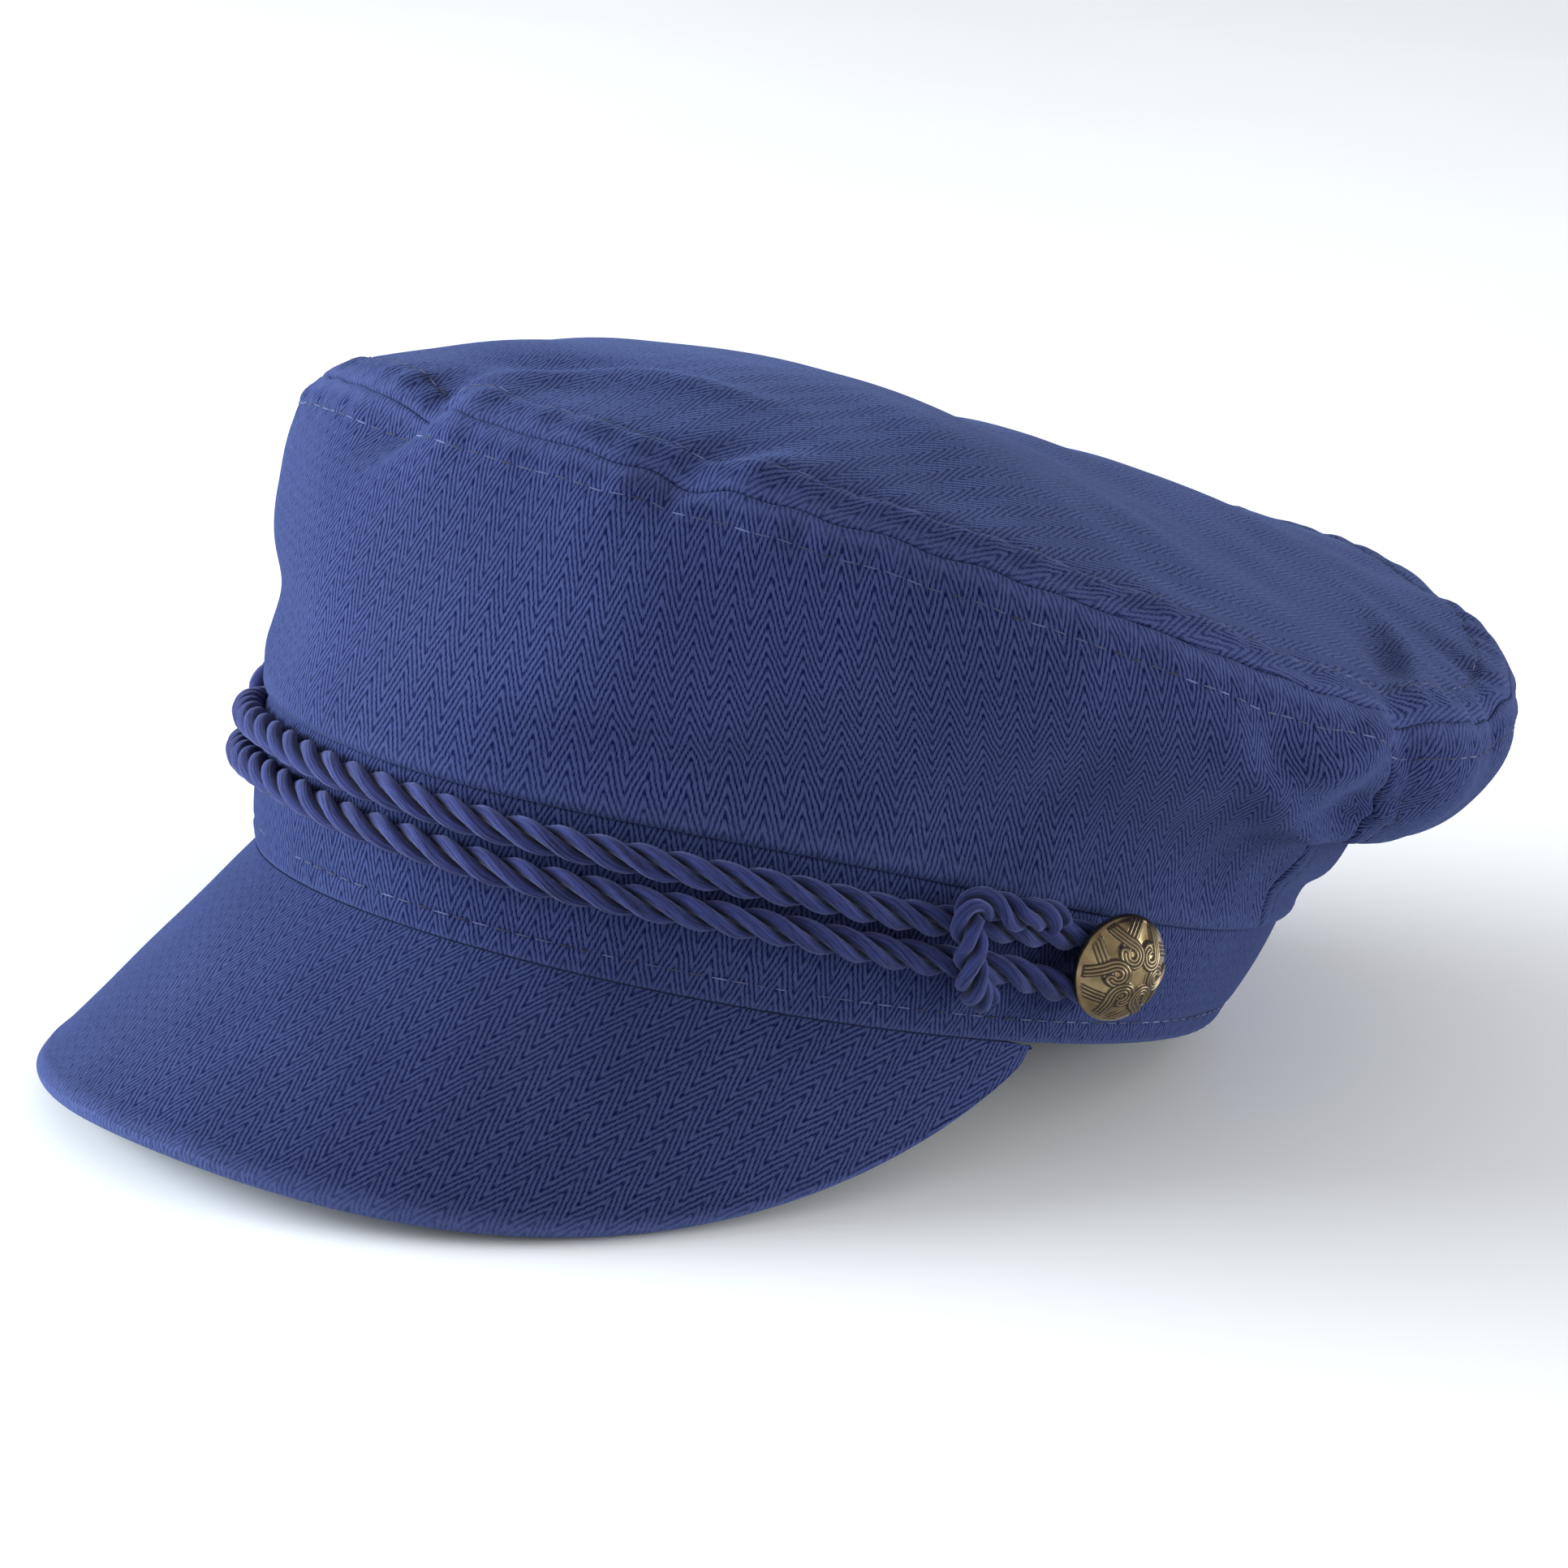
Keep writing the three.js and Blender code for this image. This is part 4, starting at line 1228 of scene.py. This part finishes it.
class CAP_OT_ropes(bpy.types.Operator):
    """Makes the two ropes that lie on the front of the band from button to button."""

    bl_idname = "cap.ropes"
    bl_label = "Ropes"

    def execute(self, context):
        rope = twisted_cotton(context)
        lay = context.scene.cap_sizes.rope_lay / MM
        turns = np.linspace(ROPE_HEIGHTS[0].turn, ROPE_HEIGHTS[-1].turn, 400)
        for name in ("upper", "lower"):
            shares = eased(ROPE_HEIGHTS, name, turns)
            places = on_band(np.radians(turns), shares, np.full_like(turns, ROPE_RADIUS + ROPE_SEAT))
            make_rope(f"rope_{name}_strands", evenly(places, 480), ROPE_RADIUS, lay, rope, f"rope_{name}")
        return {"FINISHED"}


class CAP_OT_knots(bpy.types.Operator):
    """Makes the knot in front of each button, where a cord is turned round both ropes."""

    bl_idname = "cap.knots"
    bl_label = "Knots"

    def execute(self, context):
        rope = twisted_cotton(context)
        lay = KNOT_TIGHTER * context.scene.cap_sizes.rope_lay / MM
        for name, side in SIDE_NAMES.items():
            chosen = [
                on_band(np.radians(side * (BUTTON_AT - row.ahead)), row.up, row.proud * 2 * ROPE_RADIUS)
                for row in KNOT_PATH
            ]
            places = curve_through(chosen, 150)
            make_rope(f"knot_{name}_strands", places, KNOT_THICKER * ROPE_RADIUS, lay, rope, f"knot_{name}")
        return {"FINISHED"}


# Buttons
# One ribbon of the button's ornament, from the rim, round its eye and back to the rim: outward reach and
# sideways reach from the line through the eye, as shares of the button's radius
RibbonPoint = namedtuple("RibbonPoint", "outward sideways")
RIBBON = [
    RibbonPoint(1.02, 0.13),
    RibbonPoint(0.86, 0.06),
    RibbonPoint(0.68, -0.05),
    RibbonPoint(0.53, -0.15),
    RibbonPoint(0.4, -0.155),
    RibbonPoint(0.3, -0.06),
    RibbonPoint(0.3, 0.06),
    RibbonPoint(0.4, 0.15),
    RibbonPoint(0.52, 0.13),
    RibbonPoint(0.6, 0.02),
    RibbonPoint(0.68, -0.16),
    RibbonPoint(0.76, -0.36),
    RibbonPoint(0.83, -0.6),
]
RIBBON_HALF_WIDTH = 0.098
RIBBON_OVER = 0.62
RIBBONS = 6
# Heights of the relief, as shares of the button's radius
FACETS = 0.035
OVER_LEVEL = 0.035
UNDER_LEVEL = 0.012
RIDGES = 0.022
# The button's edge rolls back under it: how far it has dropped, in millimetres, and its share of the radius
RimStep = namedtuple("RimStep", "drop spread")
BUTTON_EDGE = [
    RimStep(0.35, 1.012),
    RimStep(0.8, 1.012),
    RimStep(1.25, 0.995),
    RimStep(1.6, 0.95),
    RimStep(1.6, 0.5),
]


def ribbon_paths():
    """Each of the six ribbons as its over part and its under part, in shares of the button's radius."""
    chosen = [np.array([row.outward, row.sideways, 0.0]) for row in RIBBON]
    line = curve_through(chosen, 120)[:, :2]
    cut = int(RIBBON_OVER * len(line))
    paths = []
    for turn in np.linspace(0, 2 * math.pi, RIBBONS, endpoint=False):
        rotation = np.array([[math.cos(turn), math.sin(turn)], [-math.sin(turn), math.cos(turn)]])
        turned = line @ rotation
        paths.append((turned[:cut], turned[cut:]))
    return paths


def distance_to(line, spots):
    start, end = line[:-1], line[1:]
    step = end - start
    best = np.full(len(spots), 9.0)
    for a, d in zip(start, step):
        t = np.clip(((spots - a) @ d) / max(d @ d, 1e-12), 0, 1)
        best = np.minimum(best, np.linalg.norm(spots - a - t[:, None] * d, axis=1))
    return best


def button_relief(spots):
    """Height of the ornament, in shares of the button's radius, and how dark its grooves are."""
    radius = np.linalg.norm(spots, axis=1)
    turn = np.arctan2(spots[:, 1], spots[:, 0])
    height = FACETS * np.cos(RIBBONS * turn + 0.9) * hump(radius, 0.72, 0.2)
    dark = np.zeros(len(spots))
    paths = ribbon_paths()
    for over in (False, True):
        for top, under in paths:
            away = distance_to(top if over else under, spots)
            inside = away < RIBBON_HALF_WIDTH * 1.12
            share = away / RIBBON_HALF_WIDTH
            ridges = 0.5 + 0.5 * np.cos(2 * math.pi * share * 1.5)
            groove = 1 - smooth(ridges, 0.1, 0.75)
            level = OVER_LEVEL if over else UNDER_LEVEL
            height = np.where(inside, level + RIDGES * ridges, height)
            dark = np.where(inside, groove, dark)
    rim = smooth(radius, 0.93, 0.965)
    return height * (1 - rim), dark * (1 - rim)


def disc_spots(x, y):
    """Takes a square of -1 to 1 to a disc of radius 1."""
    wide = np.abs(x) > np.abs(y)
    reach = np.where(wide, x, y)
    safe = np.where(reach == 0, 1, reach)
    angle = np.where(wide, math.pi / 4 * y / safe, math.pi / 2 - math.pi / 4 * x / safe)
    return np.stack([reach * np.cos(angle), reach * np.sin(angle)], axis=1)


def make_button(side, name, material):
    """A domed shell with cast ribbons, a rolled rim, a back plate and a shank."""
    angle = np.array(math.radians(side * BUTTON_AT))
    up_share = np.array(BUTTON_UP)
    foot = on_band(angle, up_share, ROPE_SEAT)
    turn = math.radians(-side * BUTTON_TURN)
    out = np.array(Matrix.Rotation(turn, 3, "Z") @ Vector(normal_of(band_surface, angle, up_share)))
    beside = unit(np.cross(np.array([0, 0, 1.0]), out))
    above = np.cross(out, beside)
    back = 2 * ROPE_RADIUS + ROPE_SEAT + BUTTON_RADIUS * math.sin(math.radians(BUTTON_TURN))
    relief = {}

    def face(x, y):
        spots = disc_spots(x, y)
        if "spots" not in relief:
            relief["height"], relief["dark"] = button_relief(spots)
            relief["spots"] = spots
        radius = np.linalg.norm(spots, axis=1)
        dome = BUTTON_DOME * (1 - radius ** 2.2) + BUTTON_RADIUS * relief["height"]
        rise = back + BUTTON_RIM + dome
        flat = BUTTON_RADIUS * spots
        return foot + times(rise, out) + times(flat[:, 0], beside) + times(flat[:, 1], above)

    def uv(x, y):
        return BUTTON_RADIUS * disc_spots(x, y)

    steps = np.linspace(-1, 1, 171)
    bm = grid_mesh(steps, steps, face, uv, lambda x, y: {"groove": relief["dark"]})
    rim = [edge for edge in bm.edges if edge.is_boundary]
    centre = Vector(placed(foot))
    axis = (Vector(placed(foot + out)) - centre).normalized()
    for drop, spread in BUTTON_EDGE:
        made = bmesh.ops.extrude_edge_only(bm, edges=rim)
        corners = [v for v in made["geom"] if isinstance(v, bmesh.types.BMVert)]
        rim = [e for e in made["geom"] if isinstance(e, bmesh.types.BMEdge)]
        for v in corners:
            away = v.co - centre
            level = axis * away.dot(axis)
            radial = (away - level).normalized() * BUTTON_RADIUS * spread * MM
            v.co = centre + axis * (back + BUTTON_RIM - drop) * MM + radial
    bmesh.ops.holes_fill(bm, edges=rim)
    turn_to = axis.to_track_quat("Z", "Y").to_matrix().to_4x4()
    middle = centre + axis * (back / 2 + 0.2) * MM
    bmesh.ops.create_cone(
        bm, cap_ends=True, segments=16, radius1=SHANK_RADIUS * MM, radius2=SHANK_RADIUS * MM,
        depth=(back + 0.3) * MM, matrix=Matrix.Translation(middle) @ turn_to
    )
    face_outwards(bm)
    piece = new_piece(f"button_{name}_shell", bm)
    return finish_piece(piece, material, "antique_brass", f"button_{name}")


class CAP_OT_buttons(bpy.types.Operator):
    """Makes the two domed brass buttons that hold the ropes' ends."""

    bl_idname = "cap.buttons"
    bl_label = "Buttons"

    def execute(self, context):
        brass = antique_brass(context)
        for name, side in SIDE_NAMES.items():
            make_button(side, name, brass)
        return {"FINISHED"}


# Stitching
def sew(bm, places, normals, sizes, seed, painted_highlight_share):
    """Adds a row of stitches along places, each a thin bead that dips into the cloth at its ends."""
    draw = np.random.default_rng(seed)
    run = run_along(places)
    length = sizes.stitch_length / MM
    shades = bm.verts.layers.float.get("painted_highlight_share") or bm.verts.layers.float.new("painted_highlight_share")
    half = sizes.thread / 2
    for at in np.arange(length, run[-1] - length, length * 1.22):
        at = at + draw.uniform(-0.15, 0.15)
        middle, before, after, normal = (
            np.array([np.interp(where, run, table[:, axis]) for axis in range(3)])
            for where, table in ((at, places), (at - 0.3, places), (at + 0.3, places), (at, normals))
        )
        ends = np.stack([middle + 0.02 * normal, middle + after - before])
        spot, ahead = (Vector(place) for place in placed(ends))
        along = (ahead - spot).normalized()
        up = (Vector(placed(middle + normal)) - Vector(placed(middle))).normalized()
        beside = up.cross(along).normalized()
        up = along.cross(beside)
        size = draw.uniform(0.86, 1.08) * sizes.stitch_length / 2
        matrix = Matrix((beside * half, along * size, up * half * 0.9)).transposed().to_4x4()
        matrix.translation = spot
        matrix = matrix @ Matrix.Rotation(math.pi / 2, 4, "X")
        made = bmesh.ops.create_uvsphere(bm, u_segments=6, v_segments=5, radius=1, matrix=matrix)
        # Painted light: each stitch gets its own share of painted highlight, spread round the row's mean
        # share.
        shade = min(1.0, max(0.0, draw.normal(painted_highlight_share, 0.28)))
        for v in made["verts"]:
            v[shades] = shade
    face_outwards(bm)


class CAP_OT_stitches(bpy.types.Operator):
    """Sews the rows beside the crown seam, at the side seams and above the band's lower edge."""

    bl_idname = "cap.stitches"
    bl_label = "Stitching"

    def execute(self, context):
        sizes = context.scene.cap_sizes
        thread = cotton_thread(context)
        angles = np.linspace(0, 2 * math.pi, 1441)
        bm = bmesh.new()
        # The last number of each sew call is that row's mean share of painted highlight.
        share = np.full_like(angles, sizes.top_row / MM / CROWN_HALF_WIDTH)
        sew(bm, top_cloth(sizes, angles, share), normal_of(top_surface, angles, share), sizes, 2, 0.28)
        turned = angles - math.pi / 2
        share = 1 - sizes.side_row / MM / length_at(turned)
        sew(bm, side_cloth(sizes, turned, share), normal_of(side_surface, turned, share), sizes, 3, 0.3)
        finish_piece(new_piece("crown_topstitch", bm), thread, "cloth")
        bm = bmesh.new()
        share = np.full_like(angles, sizes.band_stitch / MM) / band_height(angles)
        normal = level_normal(band_foot, angles)
        sew(bm, band_surface(angles, share) + times(-0.2, normal), normal, sizes, 4, 0.3)
        finish_piece(new_piece("band_stitch", bm), thread, "cloth")
        bm = bmesh.new()
        rise = np.linspace(0.06, 0.86, 200)
        for side_sign in (1, -1):
            turn = np.radians(side_seam_turn(rise)) + 5 / HEAD_HALF_LENGTH
            angle = turn if side_sign > 0 else 2 * math.pi - turn
            sew(bm, side_cloth(sizes, angle, rise), normal_of(side_surface, angle, rise), sizes, 6, 0.1)
        finish_piece(new_piece("side_seam_stitch", bm), thread, "cloth")
        return {"FINISHED"}


# Stage, in metres and watts. The sky is white low down and dimmer overhead
SKY_STRENGTH = 1.34
OVERHEAD_SHARE = 0.33
Softbox = namedtuple("Softbox", "name place power colour")
SOFTBOXES = [
    Softbox("left_softbox", (-1.2, -0.93, 0.46), 60, "#E7F4FF"),
    Softbox("right_softbox", (1.15, 0.86, 0.24), 19, "#F6FCFF"),
]
SOFTBOX_SIZE = (1.4, 0.6)
FLOOR_FLAT = 2.4
FLOOR_BEND = 1.0
FLOOR_BEND_STEPS = 10


class CAP_OT_stage(bpy.types.Operator):
    """Sets the camera at the viewpoint, a pale floor that curves up all round, and soft lights."""

    bl_idname = "cap.stage"
    bl_label = "Stage"

    def execute(self, context):
        scene = context.scene
        self.add_camera(scene)
        self.add_floor(context)
        self.add_lights(scene)
        return {"FINISHED"}

    def add_camera(self, scene):
        azimuth, elevation, turned = (math.radians(v) for v in (VIEW_AZIMUTH, VIEW_ELEVATION, VIEW_ROLL))
        level = math.cos(elevation)
        back = Vector((math.sin(azimuth) * level, -math.cos(azimuth) * level, math.sin(elevation)))
        right = Vector((math.cos(azimuth), math.sin(azimuth), 0))
        up = back.cross(right)
        across = right * math.cos(turned) + up * math.sin(turned)
        upward = up * math.cos(turned) - right * math.sin(turned)
        aim = across * VIEW_AIM_RIGHT + upward * VIEW_AIM_UP
        place = LEAN @ ((aim + back * VIEW_DISTANCE) * MM)
        turn = LEAN.to_3x3() @ Matrix((across, upward, back)).transposed()
        data = bpy.data.cameras.new("camera")
        data.sensor_width = SENSOR
        data.lens = VIEW_LENS
        data.clip_end = 50
        camera = bpy.data.objects.new("camera", data)
        camera.matrix_world = Matrix.Translation(place) @ turn.to_4x4()
        scene.collection.objects.link(camera)
        scene.camera = camera

    def add_floor(self, context):
        bm = bmesh.new()
        last = bm.verts.new((0, 0, 0))
        for turn in np.linspace(0, math.pi / 2, FLOOR_BEND_STEPS + 1):
            out = FLOOR_FLAT + FLOOR_BEND * math.sin(turn)
            spot = bm.verts.new((out, 0, FLOOR_BEND * (1 - math.cos(turn))))
            bm.edges.new((last, spot))
            last = spot
        bmesh.ops.spin(
            bm, geom=bm.verts[:] + bm.edges[:], cent=(0, 0, 0), axis=(0, 0, 1), angle=2 * math.pi,
            steps=96, use_merge=True, use_duplicate=False
        )
        bmesh.ops.remove_doubles(bm, verts=bm.verts, dist=1e-5)
        face_outwards(bm)
        if bm.faces[0].normal.z < 0:
            bmesh.ops.reverse_faces(bm, faces=bm.faces)
        mesh = bpy.data.meshes.new("floor")
        bm.to_mesh(mesh)
        bm.free()
        for polygon in mesh.polygons:
            polygon.use_smooth = True
        floor = bpy.data.objects.new("floor", mesh)
        context.scene.collection.objects.link(floor)
        floor.data.materials.append(pale_floor())

    def add_lights(self, scene):
        scene.view_settings.view_transform = "Standard"
        world = bpy.data.worlds.new("soft_white")
        world.use_nodes = True
        tree = world.node_tree
        toward = node(tree, TEX_COORD).outputs["Generated"]
        height = node(tree, SEPARATE, [toward]).outputs[2]
        sky = node(tree, MAP_RANGE, [height, 0.1, 0.9, 1, OVERHEAD_SHARE])
        fill(tree, tree.nodes["Background"], {"Color": sky, "Strength": SKY_STRENGTH})
        scene.world = world
        for name, place, power, colour in SOFTBOXES:
            data = bpy.data.lights.new(name, "AREA")
            data.shape = "RECTANGLE"
            data.size, data.size_y = SOFTBOX_SIZE
            data.energy = power
            data.color = linear(colour)
            light = bpy.data.objects.new(name, data)
            light.location = place
            light.rotation_euler = (-Vector(place)).to_track_quat("-Z", "Y").to_euler()
            scene.collection.objects.link(light)


class CAP_PT_panel(bpy.types.Panel):
    """Lists the cap's makers in the sidebar."""

    bl_label = "Fisherman cap"
    bl_idname = "CAP_PT_panel"
    bl_space_type = "VIEW_3D"
    bl_region_type = "UI"
    bl_category = "Cap"

    def draw(self, context):
        column = self.layout.column()
        for operator in OPERATORS:
            column.operator(operator.bl_idname)
        for group in (context.scene.cap_sizes, context.scene.cap_colours):
            for name in group.bl_rna.properties.keys():
                if name not in ("name", "rna_type"):
                    column.prop(group, name)


OPERATORS = [
    CAP_OT_stage, CAP_OT_crown, CAP_OT_band, CAP_OT_peak,
    CAP_OT_ropes, CAP_OT_knots, CAP_OT_buttons, CAP_OT_stitches,
]
CLASSES = [CapSizes, CapColours, *OPERATORS, CAP_PT_panel]


def register():
    for made in CLASSES:
        bpy.utils.register_class(made)
    bpy.types.Scene.cap_sizes = bpy.props.PointerProperty(type=CapSizes)
    bpy.types.Scene.cap_colours = bpy.props.PointerProperty(type=CapColours)


def unregister():
    del bpy.types.Scene.cap_colours
    del bpy.types.Scene.cap_sizes
    for made in reversed(CLASSES):
        bpy.utils.unregister_class(made)


def main():
    register()
    bpy.ops.cap.stage()
    bpy.ops.cap.crown()
    bpy.ops.cap.band()
    bpy.ops.cap.peak()
    bpy.ops.cap.ropes()
    bpy.ops.cap.knots()
    bpy.ops.cap.buttons()
    bpy.ops.cap.stitches()


if __name__ == "__main__":
    main()
